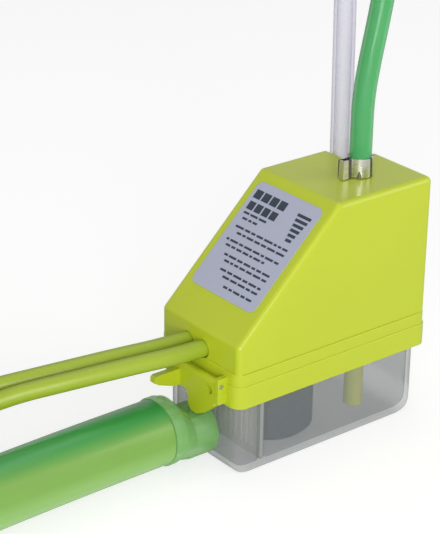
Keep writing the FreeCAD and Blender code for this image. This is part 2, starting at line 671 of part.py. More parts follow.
def reservoir():
    """The clear tub: rounded heel and toe, strainer guides, float pin, inlet spigot and catch lug."""
    def shape(name, shrink, floor, height):
        """The tub's outer form, or its hollow one wall further in."""
        length = TUB_LENGTH + " - 2 * " + shrink
        width = TUB_WIDTH + " - 2 * " + shrink
        side = block(name + "_side", length, width, height, ("0", "0", floor))
        document.recompute()
        low = number(floor) + 0.1
        heel = soften(name + "_heel", side, lambda edge: along(TURNS["y"])(edge)
                      and edge.CenterOfMass.z < low and edge.CenterOfMass.x > 0, "tub_heel - " + shrink)
        toe = soften(name + "_toe", heel, lambda edge: along(TURNS["y"])(edge)
                     and edge.CenterOfMass.z < low and edge.CenterOfMass.x < 0, "tub_toe - " + shrink)
        plan = slab(name + "_plan", length, width, height, ("0", "0", floor), "tub_corner - " + shrink)
        return common(name, toe, plan)

    outside = shape("tub_outside", "0", "0", "tub_height")
    hollow = shape("tub_hollow", "tub_wall", "tub_floor", "tub_height")
    shell = cut("tub_shell", outside, hollow)
    ribs = []
    rib_middle = "(rib_width / 2 + strainer_thickness / 2 + strainer_play)"
    for side_name, sign in (("near", "-"), ("far", "+")):
        for end_name, step in (("ahead", "-"), ("behind", "+")):
            ribs.append(block("rib_%s_%s" % (side_name, end_name), "rib_width", "rib_depth + tub_wall / 2",
                              "rib_height + tub_floor / 2",
                              ("strainer_place - housing_length / 2 %s %s" % (step, rib_middle),
                               "%s (%s / 2 - tub_wall * 3 / 4 - rib_depth / 2)" % (sign, TUB_WIDTH),
                               "tub_floor / 2")))
    pin = rod("float_guide", "float_pin", "float_pin_height + tub_floor / 2", (FLOAT_X, "0", "tub_floor / 2"))
    spigot = rod("inlet_port", "port_radius", "port_length + tub_wall / 2",
                 (TUB_FRONT + " - port_length", "0", "neck_height"), "x")
    lug = block("catch_lug", "lug_length + tub_wall / 2", "lug_width", "lug_height",
                (TUB_FRONT + " - lug_length / 2 + tub_wall / 4", "lug_place - housing_width / 2", "lug_bottom"))
    solid = fuse("tub_solid", shell, pin, spigot, lug, *ribs)
    bore = rod("inlet_port_bore", "port_bore", "port_length + 2 * tub_wall",
               (TUB_FRONT + " - port_length", "0", "neck_height"), "x")
    node("reservoir_tub", cut("tub", solid, bore))

    plate_width = TUB_WIDTH + " - 2 * tub_wall - 4 * strainer_play"
    plate = block("strainer_blank", "strainer_thickness", plate_width, "strainer_height",
                  ("strainer_place - housing_length / 2", "0", "tub_floor + strainer_play"))
    count = int(number(plate_width + " - strainer_pitch") // number("strainer_pitch"))
    slots = [block("strainer_slot_%d" % index, "2 * strainer_thickness", "strainer_slot",
                   "strainer_height - 2 * strainer_margin",
                   ("strainer_place - housing_length / 2", "strainer_pitch * (%d - %d / 2)" % (index, count - 1),
                    "tub_floor + strainer_play + strainer_margin")) for index in range(count)]
    node("strainer_plate", cut("strainer", plate, *slots))


def float_pieces():
    """The float with its ring magnet let into the top."""
    bottom = "tub_floor + float_gap"
    edge = "float_round"
    rim = "(magnet_radius + magnet_fit)"
    seat = "(float_height - magnet_thickness)"
    body = turned("float_foam",
                  [("float_bore", "0"), ("float_radius - %s" % edge, "0"), ("float_radius", edge),
                   ("float_radius", "float_height - %s" % edge), ("float_radius - %s" % edge, "float_height"),
                   (rim, "float_height"), (rim, seat), ("float_bore", seat)], (FLOAT_X, "0", bottom))
    node("float_body", body)
    node("float_magnet", pipe("magnet", "magnet_radius", "magnet_bore", "magnet_thickness",
                              (FLOAT_X, "0", "%s + float_height - magnet_thickness" % bottom)))


def ring_section(name, radius, x, z):
    """An upright circle about the X direction, as a section of a loft."""
    circle = document.addObject("Part::Circle", name)
    circle.setExpression("Radius", bound(radius))
    place(circle, (x, "0", z), ("y", "90"))
    return circle


def loft(name, sections):
    """A solid through two sections."""
    item = document.addObject("Part::Loft", name)
    item.Sections = sections
    item.Solid = True
    item.Ruled = True
    return item


CUFF_FLARE_X = "(%s - neck_length)" % TUB_FRONT
CUFF_BODY_X = "(%s - flare_length)" % CUFF_FLARE_X
COLLAR_X = "(%s - cuff_body)" % CUFF_BODY_X
HOSE_START_X = "(%s - collar_length)" % COLLAR_X
HOSE_AXIS_Z = "(neck_height + cuff_rise)"
TAIL_RADIUS = "(drain_radius - drain_wall - tail_fit)"
TAIL_BORE = "(drain_radius - drain_wall - tail_fit - tail_wall)"


def inlet_cuff():
    """The pale cuff: a neck on the reservoir's spigot, an offset flare, a collar and a tail for the hose."""
    neck = rod("cuff_neck", "neck_radius", "neck_length", (CUFF_FLARE_X, "0", "neck_height"), "x")
    flare = loft("cuff_flare", [ring_section("flare_small", "neck_radius", CUFF_FLARE_X, "neck_height"),
                                ring_section("flare_large", "cuff_radius", CUFF_BODY_X, HOSE_AXIS_Z)])
    straight = rod("cuff_straight", "cuff_radius", "cuff_body", (COLLAR_X, "0", HOSE_AXIS_Z), "x")
    collar = rod("cuff_collar", "collar_radius", "collar_length", (HOSE_START_X, "0", HOSE_AXIS_Z), "x")
    tail = rod("cuff_tail", TAIL_RADIUS, "tail_length", (HOSE_START_X + " - tail_length", "0", HOSE_AXIS_Z), "x")
    solid = fuse("cuff_solid", neck, flare, straight, collar, tail)
    neck_bore = rod("cuff_neck_bore", "port_radius + port_fit", "neck_length",
                    (CUFF_FLARE_X, "0", "neck_height"), "x")
    flare_bore = loft("cuff_flare_bore",
                      [ring_section("flare_bore_small", "port_radius + port_fit", CUFF_FLARE_X, "neck_height"),
                       ring_section("flare_bore_large", TAIL_BORE, CUFF_BODY_X, HOSE_AXIS_Z)])
    tail_bore = rod("cuff_tail_bore", TAIL_BORE, "cuff_body + collar_length + tail_length",
                    (HOSE_START_X + " - tail_length", "0", HOSE_AXIS_Z), "x")
    notch = block("cuff_notch", "cuff_notch_length", "2 * neck_radius", "neck_radius",
                  (FRONT + " - cuff_notch_length / 2", "0", "cuff_notch_height"))
    node("inlet_cuff", cut("cuff", solid, neck_bore, flare_bore, tail_bore, notch))


MANIFOLD_TOP = "(%s + manifold_height)" % PLATE_TOP
YOKE_BOTTOM = "(%s + mount_height)" % PLATE_TOP
YOKE_TOP = "(%s + yoke_height)" % YOKE_BOTTOM
TUBE_BOTTOM = "(%s + valve_flange_height)" % MANIFOLD_TOP
INLET_TOP = "(%s + inlet_stem)" % TUBE_BOTTOM
TUBE_TOP = "(%s + 2)" % YOKE_TOP
OUTLET_BOTTOM = "(%s - outlet_stem)" % TUBE_TOP
PISTON_BOTTOM = "((%s + %s - piston_length) / 2)" % (INLET_TOP, OUTLET_BOTTOM)
PISTON_TOP = "(%s + piston_length)" % PISTON_BOTTOM
INLET_SEAT = "(%s + 1.2)" % MANIFOLD_TOP
OUTLET_SEAT = "(%s + 1.5)" % OUTLET_BOTTOM
OUTLET_FLANGE_TOP = "(%s + valve_flange_height)" % TUBE_TOP
BALL_RISE = "sqrt(ball_radius ^ 2 - valve_bore ^ 2)"


def coil_spring(name, mean, wire, turns, low, high, stretch=0.0):
    """A round-wire helical spring on the pump's axis between two heights, in stretches of so many turns."""
    helix = document.addObject("Part::Helix", name + "_helix")
    rise = "(%s - (%s) - 2 * %s - 2 * spring_gap)" % (high, low, wire)
    helix.setExpression("Radius", bound(mean))
    helix.setExpression("Height", bound(rise))
    helix.setExpression("Pitch", bound("%s / %s" % (rise, turns)))
    helix.SegmentLength = stretch
    section = document.addObject("Part::Circle", name + "_wire")
    section.setExpression("Radius", bound(wire))
    place(section, (mean, "0", "0"), ("x", "90"))
    document.recompute()
    sweep = document.addObject("Part::Sweep", name)
    sweep.Sections = [section]
    sweep.Spine = (helix, ["Edge%d" % (index + 1) for index in range(len(helix.Shape.Edges))])
    sweep.Solid = True
    sweep.Frenet = True
    place(sweep, (PUMP_X, PUMP_Y, "%s + %s + spring_gap" % (low, wire)))
    return sweep


def pump():
    """The solenoid pump, from the manifold on the base plate up to the discharge spigot."""
    axis = (PUMP_X, PUMP_Y)
    manifold = block("manifold_block", "manifold_length", "manifold_width", "manifold_height",
                     ("(%s + %s) / 2 + 0.65" % (PUMP_X, SUCTION_X), "(%s + %s) / 2" % (PUMP_Y, SUCTION_Y), PLATE_TOP))
    way_height = "(%s - 2.2 * duct_radius)" % MANIFOLD_TOP
    document.recompute()
    run = Vector(number(PUMP_X + " - " + SUCTION_X), number(PUMP_Y + " - " + SUCTION_Y), 0)
    span = "sqrt((%s - %s) ^ 2 + (%s - %s) ^ 2)" % (PUMP_X, SUCTION_X, PUMP_Y, SUCTION_Y)
    way = document.addObject("Part::Cylinder", "manifold_way")
    way.setExpression("Radius", bound("duct_radius"))
    way.setExpression("Height", bound(span + " + 2 * duct_radius"))
    way.Placement = FreeCAD.Placement(Vector(), FreeCAD.Rotation(TURNS["z"], run))
    for letter, text in (("x", "%s - duct_radius * (%s - %s) / %s" % (SUCTION_X, PUMP_X, SUCTION_X, span)),
                         ("y", "%s - duct_radius * (%s - %s) / %s" % (SUCTION_Y, PUMP_Y, SUCTION_Y, span)),
                         ("z", way_height)):
        way.setExpression("Placement.Base." + letter, bound(text))
    up_in = rod("manifold_in", "spigot_radius + spigot_fit", "2", (SUCTION_X, SUCTION_Y, PLATE_TOP))
    up_to_way = rod("manifold_rise", "0.8 * duct_radius", way_height + " - %s" % PLATE_TOP,
                    (SUCTION_X, SUCTION_Y, PLATE_TOP))
    up_out = rod("manifold_out", "0.8 * duct_radius", MANIFOLD_TOP + " - %s" % way_height, axis + (way_height,))
    node("inlet_manifold", cut("manifold", manifold, way, up_in, up_to_way, up_out))

    stub = rod("suction_stub", "suction_radius", PLATE_BOTTOM + " - suction_end", (SUCTION_X, SUCTION_Y, "suction_end"))
    flange = rod("suction_collar", "suction_flange", "flange_thickness",
                 (SUCTION_X, SUCTION_Y, PLATE_BOTTOM + " - flange_thickness"))
    spigot = rod("suction_spigot", "spigot_radius", "plate_thickness + 2", (SUCTION_X, SUCTION_Y, PLATE_BOTTOM))
    suction_bore = rod("suction_way", "suction_bore", PLATE_BOTTOM + " - suction_end + plate_thickness + 2",
                       (SUCTION_X, SUCTION_Y, "suction_end"))
    node("suction_tube", cut("suction", fuse("suction_solid", stub, flange, spigot), suction_bore))

    mounts = []
    for index, (sign_x, sign_y) in enumerate((("-", "-"), ("-", "+"), ("+", "-"), ("+", "+"))):
        mounts.append(rod("mount_%d" % index, "mount_radius", "mount_height",
                          ("%s %s mount_spread_long / 2" % (PUMP_X, sign_x),
                           "%s %s mount_spread_side / 2" % (PUMP_Y, sign_y), PLATE_TOP)))
    node("rubber_mounts", group("mounts", mounts))

    frame = block("yoke_block", "yoke_length", "yoke_depth", "yoke_height", axis + (YOKE_BOTTOM,))
    window = block("yoke_window", "yoke_length - 2 * yoke_steel", "yoke_depth", "yoke_height - 2 * yoke_steel",
                   axis + (YOKE_BOTTOM + " + yoke_steel",))
    hole = rod("yoke_bore", "yoke_hole", "yoke_height", axis + (YOKE_BOTTOM,))
    node("yoke_frame", cut("yoke", frame, window, hole))

    inner = "(yoke_height - 2 * yoke_steel)"
    bobbin = turned("bobbin",
                    [("bobbin_bore", "0"), ("bobbin_flange", "0"), ("bobbin_flange", "bobbin_sheet"),
                     ("bobbin_tube", "bobbin_sheet"), ("bobbin_tube", inner + " - bobbin_sheet"),
                     ("bobbin_flange", inner + " - bobbin_sheet"), ("bobbin_flange", inner), ("bobbin_bore", inner)],
                    axis + (YOKE_BOTTOM + " + yoke_steel",))
    node("coil_bobbin", bobbin)
    node("coil_winding", pipe("winding", "winding_radius", "bobbin_tube + winding_gap",
                              inner + " - 2 * bobbin_sheet - 2 * winding_gap",
                              axis + (YOKE_BOTTOM + " + yoke_steel + bobbin_sheet + winding_gap",)))
    node("thermal_cutout", block("cutout", "cutout_length", "cutout_depth", "cutout_height",
                                 (PUMP_X, PUMP_Y + " - winding_radius - cutout_gap - cutout_depth / 2",
                                  "(%s + %s - cutout_height) / 2" % (YOKE_BOTTOM, YOKE_TOP))))
    node("pump_tube", pipe("barrel", "tube_radius", "tube_bore", TUBE_TOP + " - " + TUBE_BOTTOM,
                           axis + (TUBE_BOTTOM,)))
    node("piston", pipe("piston_rod", "piston_radius", "piston_bore", "piston_length", axis + (PISTON_BOTTOM,)))
    node("piston_return_spring", coil_spring("return_spring", "piston_spring_radius", "piston_spring_wire",
                                             "piston_spring_turns", INLET_TOP, PISTON_BOTTOM))
    node("piston_buffer_spring", coil_spring("buffer_spring", "piston_spring_radius", "piston_spring_wire",
                                             "piston_spring_turns", PISTON_TOP, OUTLET_BOTTOM))

    seat = INLET_SEAT + " - " + MANIFOLD_TOP
    top = "(valve_flange_height + inlet_stem)"
    inlet_chamber = rod("inlet_chamber", "chamber_radius", "chamber_height", axis + (INLET_SEAT,))
    inlet_blank = turned("inlet_valve_blank",
                         [("valve_bore", "0"), ("valve_flange", "0"), ("valve_flange", "valve_flange_height"),
                          ("valve_stem", "valve_flange_height"), ("valve_stem", top), ("valve_bore", top)],
                         axis + (MANIFOLD_TOP,))
    node("inlet_valve_body", cut("inlet_valve", inlet_blank, inlet_chamber))
    inlet_ball = document.addObject("Part::Sphere", "inlet_ball")
    inlet_ball.setExpression("Radius", bound("ball_radius"))
    place(inlet_ball, axis + ("%s + %s + %s + ball_gap" % (MANIFOLD_TOP, seat, BALL_RISE),))
    node("inlet_valve_ball", inlet_ball)
    node("inlet_valve_spring", coil_spring("inlet_spring", "valve_spring_radius", "valve_spring_wire",
                                           "valve_spring_turns",
                                           "%s + %s + ball_radius * 0.72" % (INLET_SEAT, BALL_RISE),
                                           INLET_SEAT + " + chamber_height", 0.5))

    stem = "(outlet_stem + valve_flange_height)"
    outlet_chamber = rod("outlet_chamber", "chamber_radius", "chamber_height", axis + (OUTLET_SEAT,))
    outlet_blank = turned("outlet_valve_blank",
                          [("valve_bore", "0"), ("valve_stem", "0"), ("valve_stem", "outlet_stem"),
                           ("valve_flange", "outlet_stem"), ("valve_flange", stem), ("valve_bore", stem)],
                          axis + (OUTLET_BOTTOM,))
    node("outlet_valve_body", cut("outlet_valve", outlet_blank, outlet_chamber))
    outlet_ball = document.addObject("Part::Sphere", "outlet_ball")
    outlet_ball.setExpression("Radius", bound("ball_radius"))
    place(outlet_ball, axis + ("%s + %s + ball_gap" % (OUTLET_SEAT, BALL_RISE),))
    node("outlet_valve_ball", outlet_ball)
    node("outlet_valve_spring", coil_spring("outlet_spring", "valve_spring_radius", "valve_spring_wire",
                                            "valve_spring_turns",
                                            "%s + %s + ball_radius * 0.72" % (OUTLET_SEAT, BALL_RISE),
                                            OUTLET_SEAT + " + chamber_height", 0.5))

    seal = document.addObject("Part::Torus", "outlet_seal")
    seal.setExpression("Radius1", bound("spigot_radius + ring_wire"))
    seal.setExpression("Radius2", bound("ring_wire - spring_gap"))
    place(seal, axis + (OUTLET_FLANGE_TOP + " + ring_wire - spring_gap",))
    roof_seal = document.addObject("Part::Torus", "roof_seal")
    roof_seal.setExpression("Radius1", bound("spigot_radius + ring_wire"))
    roof_seal.setExpression("Radius2", bound("ring_wire - spring_gap"))
    place(roof_seal, axis + ("housing_top - shell_wall - ring_wire",))
    node("o_rings", group("seals", [seal, roof_seal]))


def discharge():
    """The discharge spigot with its barbs, through the roof, and the band clamp over the hose."""
    axis = (PUMP_X, PUMP_Y)
    low = OUTLET_FLANGE_TOP + " + outlet_gap"
    reach = "(housing_top + outlet_reach - %s - outlet_gap)" % OUTLET_FLANGE_TOP
    points = [("spigot_bore", "0"), ("outlet_flange", "0"), ("outlet_flange", "flange_thickness"),
              ("spigot_radius", "flange_thickness"), ("spigot_radius", reach + " - 2 * barb_height"),
              ("spigot_radius + barb_proud", reach + " - 2 * barb_height"), ("spigot_radius", reach + " - barb_height"),
              ("spigot_radius + barb_proud", reach + " - barb_height"), ("spigot_radius - barb_proud", reach),
              ("spigot_bore", reach)]
    node("discharge_spigot", turned("discharge_nozzle", points, axis + (low,)))

    base = "housing_top + hose_seat"
    band = pipe("clamp_ring", "tube_outside + clamp_fit + clamp_band", "tube_outside + clamp_fit",
                "clamp_width", axis + (base,))
    ear_block = block("clamp_ear_block", "clamp_ear + clamp_band", "clamp_ear_width", "clamp_width",
                      ("%s - tube_outside - clamp_fit - clamp_band - clamp_ear / 2" % PUMP_X, PUMP_Y, base))
    ear_hollow = block("clamp_ear_hollow", "clamp_ear - clamp_band", "clamp_ear_width - 2 * clamp_band", "clamp_width",
                       ("%s - tube_outside - clamp_fit - clamp_band - clamp_ear / 2" % PUMP_X, PUMP_Y, base))
    ear = cut("clamp_pinched_ear", ear_block, ear_hollow,
              rod("clamp_inside", "tube_outside + clamp_fit", "clamp_width", axis + (base,)))
    node("discharge_clamp", fuse("clamp", band, ear))


def breather():
    """The breather spigot on the notch's floor."""
    floor = STEP_TOP
    foot = "(plate_thickness + roof_ledge)"
    points = [("spigot_bore", "0"), ("breather_foot", "0"), ("breather_foot", foot),
              ("tube_outside", foot), ("tube_outside", foot + " + flange_thickness"),
              ("spigot_radius", foot + " + flange_thickness"),
              ("spigot_radius", foot + " + flange_thickness + breather_reach"),
              ("spigot_bore", foot + " + flange_thickness + breather_reach")]
    node("breather_spigot", turned("breather_nozzle", points,
                                   (BREATHER_X, BREATHER_Y, floor + " - plate_thickness - roof_ledge")))


def electronics():
    """The circuit board on the far wall, and the pieces on it and wired to it."""
    front = "board_front - housing_length / 2"
    back = "board_front + board_length - housing_length / 2"
    top = "board_bottom + board_tall"
    points = [(front, "board_bottom"), (back, "board_bottom"), (back, top), (back + " - board_level", top),
              (front, "board_bottom + board_low")]
    board = extruded("board_blank", "XZ_Plane", points, "board_thickness",
                     ("0", BOARD_FACE + " + board_thickness / 2", "0"))
    holes = [rod("board_hole_%d" % index, "board_screw_radius + screw_fit", "board_thickness",
                 (x, BOARD_FACE, z), "y") for index, (x, z) in enumerate(board_posts())]
    node("circuit_board", cut("board", board, *holes))
    screws = []
    for index, (x, z) in enumerate(board_posts()):
        head = rod("board_screw_head_%d" % index, "board_screw_head", "board_thickness",
                   (x, BOARD_FACE + " - board_thickness", z), "y")
        shank = rod("board_screw_shank_%d" % index, "board_screw_radius", "board_thickness + board_screw_reach",
                    (x, BOARD_FACE, z), "y")
        screws.append(fuse("board_screw_%d" % index, head, shank))
    node("board_screws", group("board_fasteners", screws))

    relay_x = "board_front + board_length - 0.5 * relay_length - 1 - housing_length / 2"
    node("relay", block("relay_case", "relay_length", "relay_depth", "relay_height",
                        (relay_x, BOARD_FACE + " - relay_depth / 2", "board_bottom + 2")))
    node("capacitor", rod("capacitor_can", "capacitor_radius", "capacitor_length",
                          (back + " - 3 * capacitor_radius", BOARD_FACE + " - capacitor_length",
                           "board_bottom + 2 + relay_height + 1.3 * capacitor_radius"), "y"))
    node("hall_sensor", block("sensor", "sensor_length", "sensor_depth", "sensor_height",
                              (FLOAT_X, "0", PLATE_BOTTOM + " - cup_depth + cup_wall")))


def grip_screw_places():
    """The two clamp screws, as Y."""
    middle = "(%s + %s) / 2" % (NEAR_CABLE_Y, FAR_CABLE_Y)
    return ["%s - grip_width / 2 + grip_screw_inset" % middle, "%s + grip_width / 2 - grip_screw_inset" % middle]


def cable_hardware():
    """The clamp that grips both cables inside, its screws, the terminal block and the cores into it."""
    middle = "(%s + %s) / 2" % (NEAR_CABLE_Y, FAR_CABLE_Y)
    x = "grip_place + grip_length / 2 - housing_length / 2"
    low = "grip_place - housing_length / 2"
    bar = block("grip_bar", "grip_length", "grip_width", "grip_height", (x, middle, PLATE_TOP))
    holes = [rod(name + "_grip", "cable_radius + grip_fit", "grip_length", (low, y, "cable_height"), "x")
             for name, y in (("near", NEAR_CABLE_Y), ("far", FAR_CABLE_Y))]
    screws = []
    for index, y in enumerate(grip_screw_places()):
        holes.append(rod("grip_screw_hole_%d" % index, "board_screw_radius + screw_fit", "grip_height",
                         (x, y, PLATE_TOP)))
        head = rod("grip_screw_head_%d" % index, "board_screw_head", "board_thickness", (x, y, PLATE_TOP + " + grip_height"))
        shank = rod("grip_screw_shank_%d" % index, "board_screw_radius", "grip_height + plate_thickness",
                    (x, y, PLATE_BOTTOM))
        screws.append(fuse("grip_screw_%d" % index, head, shank))
    node("cable_clamp", cut("grip", bar, *holes))
    node("clamp_screws", group("grip_fasteners", screws))

    node("terminal_block", block("terminals", "terminal_length", "terminal_width", "terminal_height",
                                 ("terminal_place + terminal_length / 2 - housing_length / 2", middle, PLATE_TOP)))
    cores = []
    start = "grip_place + grip_length - housing_length / 2"
    for name, y in (("near", NEAR_CABLE_Y), ("far", FAR_CABLE_Y)):
        for index, (across, up) in enumerate((("-core_ring", "-0.5 * core_ring"), ("core_ring", "-0.5 * core_ring"),
                                              ("0", "core_ring"))):
            cores.append(rod("%s_core_%d" % (name, index), "core_radius", "terminal_place - grip_place - grip_length",
                             (start, "%s + %s" % (y, across), "cable_height + " + up), "x"))
    node("cable_inner_cores", group("inner_cores", cores))


def route(points):
    """A route's straight runs and the tangent arcs between them, each as large as its two runs allow.

    Returns the runs as pairs of ends, the arcs as start, middle, axis and angle, and the whole length.
    """
    corners = [Vector(*point) for point in points]
    runs = []
    bends = []
    start = corners[0]
    length = 0.0
    for before, corner, after in zip(corners, corners[1:], corners[2:]):
        back = (before - corner).normalize()
        ahead = (after - corner).normalize()
        turn = math.pi - back.getAngle(ahead)
        setback = 0.45 * min(before.distanceToPoint(corner), after.distanceToPoint(corner))
        bend_radius = setback / math.tan(turn / 2)
        enter = corner + back * setback
        leave = corner + ahead * setback
        middle = corner + (back + ahead).normalize() * (bend_radius / math.cos(turn / 2))
        runs.append((start, enter))
        bends.append((enter, middle, (enter - middle).cross(leave - middle), math.degrees(turn)))
        length += start.distanceToPoint(enter) + bend_radius * turn
        start = leave
    runs.append((start, corners[-1]))
    length += start.distanceToPoint(corners[-1])
    return runs, bends, length


def swept(runs, bends, radius):
    """Round solids along a route: a cylinder for each straight run and a part of a torus for each bend."""
    pieces = [Part.makeCylinder(radius, (high - low).Length, low, high - low) for low, high in runs]
    for enter, middle, axis, angle in bends:
        heading = axis.cross(enter - middle)
        disc = Part.Face(Part.Wire([Part.Circle(enter, heading, radius).toShape()]))
        pieces.append(disc.revolve(middle, axis, angle))
    return pieces


def cord(label, points, radius, bore=0.0):
    """The plain solid of a free cable or hose; its volume is compared with its section times its length."""
    runs, bends, length = route(points)
    pieces = swept(runs, bends, radius)
    if bore:
        pieces = [piece.cut(inside) for piece, inside in zip(pieces, swept(runs, bends, bore))]
    item = document.addObject("Part::Feature", label + "_run")
    item.Shape = pieces[0].multiFuse(pieces[1:])
    item.Placement = FreeCAD.Placement()
    expected = math.pi * (radius ** 2 - bore ** 2) * length
    print("%s: length %.0f, volume ratio %.4f" % (label, length, item.Shape.Volume / expected))
    return node(label, item)


# The cables' routes from the clamp to their coils: X, Y, Z of points chosen by hand. Both fall beside
# each other inside the view. Beyond it the near cable goes down to the floor, and the far one goes down
# less, because its coil lies on the near one's.
POWER_ROUTE = [(-32.0, -2.2, 47.5), (-55.5, -2.2, 47.5), (-79.0, 3.0, 47.0), (-101.0, 10.8, 44.4),
               (-124.0, 21.6, 40.2), (-143.0, 31.0, 31.5), (-162.0, 40.4, 19.0), (-181.0, 49.8, 8.2),
               (-200.0, 59.2, 4.5)]
ALARM_ROUTE = [(-32.0, 7.3, 47.5), (-55.5, 7.3, 47.5), (-79.0, 12.5, 47.0), (-101.0, 20.3, 44.4),
               (-124.0, 31.1, 40.2), (-143.0, 40.5, 36.0), (-162.0, 49.9, 31.3), (-181.0, 59.3, 27.8),
               (-200.0, 68.7, 26.4)]
# The discharge hose leans back a little and then forward, as the photograph shows it.
DISCHARGE_ROUTE = [(26.5, -5.4, 103.4), (26.5, -5.4, 119.0), (26.6, -5.3, 135.0), (29.4, -5.4, 151.0),
                   (32.8, -5.6, 166.5), (35.6, -5.5, 181.0)]
BREATHER_ROUTE = [(39.5, 20.0, 46.2), (39.5, 20.0, 104.0), (37.8, 19.9, 178.0)]
DRAIN_ROUTE = [(-69.5, 0.0, 16.6), (-97.0, 0.0, 16.6), (-126.0, 0.2, 16.0), (-156.0, 0.6, 15.0),
               (-185.0, -3.0, 14.5), (-211.0, -11.0, 14.4), (-234.0, -22.5, 14.3)]


def put_away_coil(name, points, floor):
    """The plain solid of a wound coil, beside the end of its cable, with the tie round its section."""
    end = Vector(*points[-1])
    heading = end - Vector(*points[-2])
    heading.z = 0
    heading.normalize()
    outward = Vector(heading.y, -heading.x, 0)
    turn_radius = number("coil_outer - cable_radius")
    middle = end + outward * turn_radius
    middle.z = floor
    base = number("tie_thickness")
    inner, outer, tall = number("coil_inner"), number("coil_outer"), number("coil_height")
    crown = number("coil_crown")
    half = (inner + outer) / 2
    low = number("2 * cable_radius")
    corners = [Vector(inner, 0, 0), Vector(outer, 0, 0), Vector(outer, 0, low), Vector(half + crown, 0, tall),
               Vector(half - crown, 0, tall), Vector(inner, 0, low), Vector(inner, 0, 0)]
    ring = Part.Face(Part.makePolygon(corners)).revolve(Vector(), TURNS["z"], 360)
    coil = document.addObject("Part::Feature", name + "_coil_solid")
    coil.Shape = Part.Solid(ring)
    coil.Placement = FreeCAD.Placement(middle + Vector(0, 0, base), FreeCAD.Rotation())
    node(name + "_coil", coil)

    gap = number("tie_fit")
    wide = number("tie_width")
    section = Part.makePolygon([corner + Vector(0, 0, base) for corner in corners[:6]] + [Vector(inner, 0, base)])
    section.rotate(Vector(), TURNS["x"], -90)
    within = Part.Face(section.makeOffset2D(gap, 2))
    around = Part.Face(section.makeOffset2D(base, 2))
    band = around.cut(within)
    band.rotate(Vector(), TURNS["x"], 90)
    tie = document.addObject("Part::Feature", name + "_tie_solid")
    tie.Shape = band.Faces[0].revolve(Vector(), TURNS["z"], math.degrees(wide / half))
    away = math.degrees(math.atan2(outward.y, outward.x))
    tie.Placement = FreeCAD.Placement(middle, FreeCAD.Rotation(TURNS["z"], away))
    node(name + "_tie", tie)

    # The free end leaves the top turn on a tangent: a stub of sheath, then three stripped cores.
    radius = number("cable_radius")
    spoke = Vector(-math.cos(math.radians(30)), -math.sin(math.radians(30)), 0)
    tangent = Vector(spoke.y, -spoke.x, 0)
    start = middle + Vector(0, 0, base + tall - radius) + spoke * half
    stub_end = start + tangent * number("stub_length")
    pieces = [Part.makeCylinder(radius, number("stub_length"), start, tangent)]
    across = TURNS["z"].cross(tangent)
    ring_radius = number("core_ring")
    for sideways, up in ((-1, -0.5), (1, -0.5), (0, 1)):
        corner = stub_end + across * (sideways * ring_radius) + TURNS["z"] * (up * ring_radius)
        pieces.append(Part.makeCylinder(number("core_radius"), number("bare_length"), corner, tangent))
    tail = document.addObject("Part::Feature", name + "_end_solids")
    tail.Shape = Part.makeCompound(pieces)
    tail.Placement = FreeCAD.Placement()
    node(name + "_end", tail)


def cords():
    """Both cables with their coils, and the three hoses."""
    radius = number("cable_radius")
    cord("power_cable", POWER_ROUTE, radius)
    put_away_coil("power_cable", POWER_ROUTE, 0.0)
    cord("alarm_cable", ALARM_ROUTE, radius)
    put_away_coil("alarm_cable", ALARM_ROUTE, number("coil_stack"))
    outside, inside = number("tube_outside"), number("tube_inside")
    cord("discharge_hose", DISCHARGE_ROUTE, outside, inside)
    cord("breather_tube", BREATHER_ROUTE, outside, inside)
    cord("inlet_hose", DRAIN_ROUTE, number("drain_radius"), number("drain_radius - drain_wall"))


def write_nodes():
    """Check every object and every finished sub-part, then write one file for each."""
    document.recompute()
    for item in document.Objects:
        if "Invalid" in item.State or "Error" in item.State:
            raise RuntimeError("%s did not build: %s %s" % (item.Label, item.State, item.getStatusString()))
    for item in nodes:
        if item.Shape.isNull() or not item.Shape.isValid() or item.Shape.Volume < 0.01:
            raise RuntimeError("%s has no valid shape" % item.Label)
    os.makedirs("parts", exist_ok=True)
    for item in nodes:
        item.Shape.exportStep("parts/%s.step" % item.Label)
        box = item.Shape.BoundBox
        print("%-22s solids %2d volume %9.1f  x %.1f..%.1f y %.1f..%.1f z %.1f..%.1f"
              % (item.Label, len(item.Shape.Solids), item.Shape.Volume, box.XMin, box.XMax, box.YMin, box.YMax,
                 box.ZMin, box.ZMax))
    print("%d nodes" % len(nodes))


upper_housing()
base_plate()
label()
latch()
reservoir()
float_pieces()
inlet_cuff()
pump()
discharge()
breather()
electronics()
cable_hardware()
cords()
write_nodes()
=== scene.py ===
import logging
import math
from dataclasses import dataclass
from enum import Enum
from typing import Optional, Sequence, Union

import bpy
import numpy as np
from mathutils import Matrix, Vector


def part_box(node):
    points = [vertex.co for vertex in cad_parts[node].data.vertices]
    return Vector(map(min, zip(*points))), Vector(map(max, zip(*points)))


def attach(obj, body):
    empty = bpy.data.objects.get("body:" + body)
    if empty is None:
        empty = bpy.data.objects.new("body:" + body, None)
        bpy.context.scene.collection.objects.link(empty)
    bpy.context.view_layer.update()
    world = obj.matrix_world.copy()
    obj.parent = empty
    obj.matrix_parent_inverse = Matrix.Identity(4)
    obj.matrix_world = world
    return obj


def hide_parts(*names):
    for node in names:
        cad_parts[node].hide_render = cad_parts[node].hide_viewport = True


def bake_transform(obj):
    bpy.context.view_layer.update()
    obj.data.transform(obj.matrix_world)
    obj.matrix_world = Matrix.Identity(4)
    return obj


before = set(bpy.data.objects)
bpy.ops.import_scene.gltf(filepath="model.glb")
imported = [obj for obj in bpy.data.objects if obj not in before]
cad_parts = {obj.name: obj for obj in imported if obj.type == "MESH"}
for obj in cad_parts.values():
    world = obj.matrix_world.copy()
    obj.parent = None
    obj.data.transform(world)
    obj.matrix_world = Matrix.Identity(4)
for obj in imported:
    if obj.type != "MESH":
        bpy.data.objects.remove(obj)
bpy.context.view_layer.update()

MM = 0.001
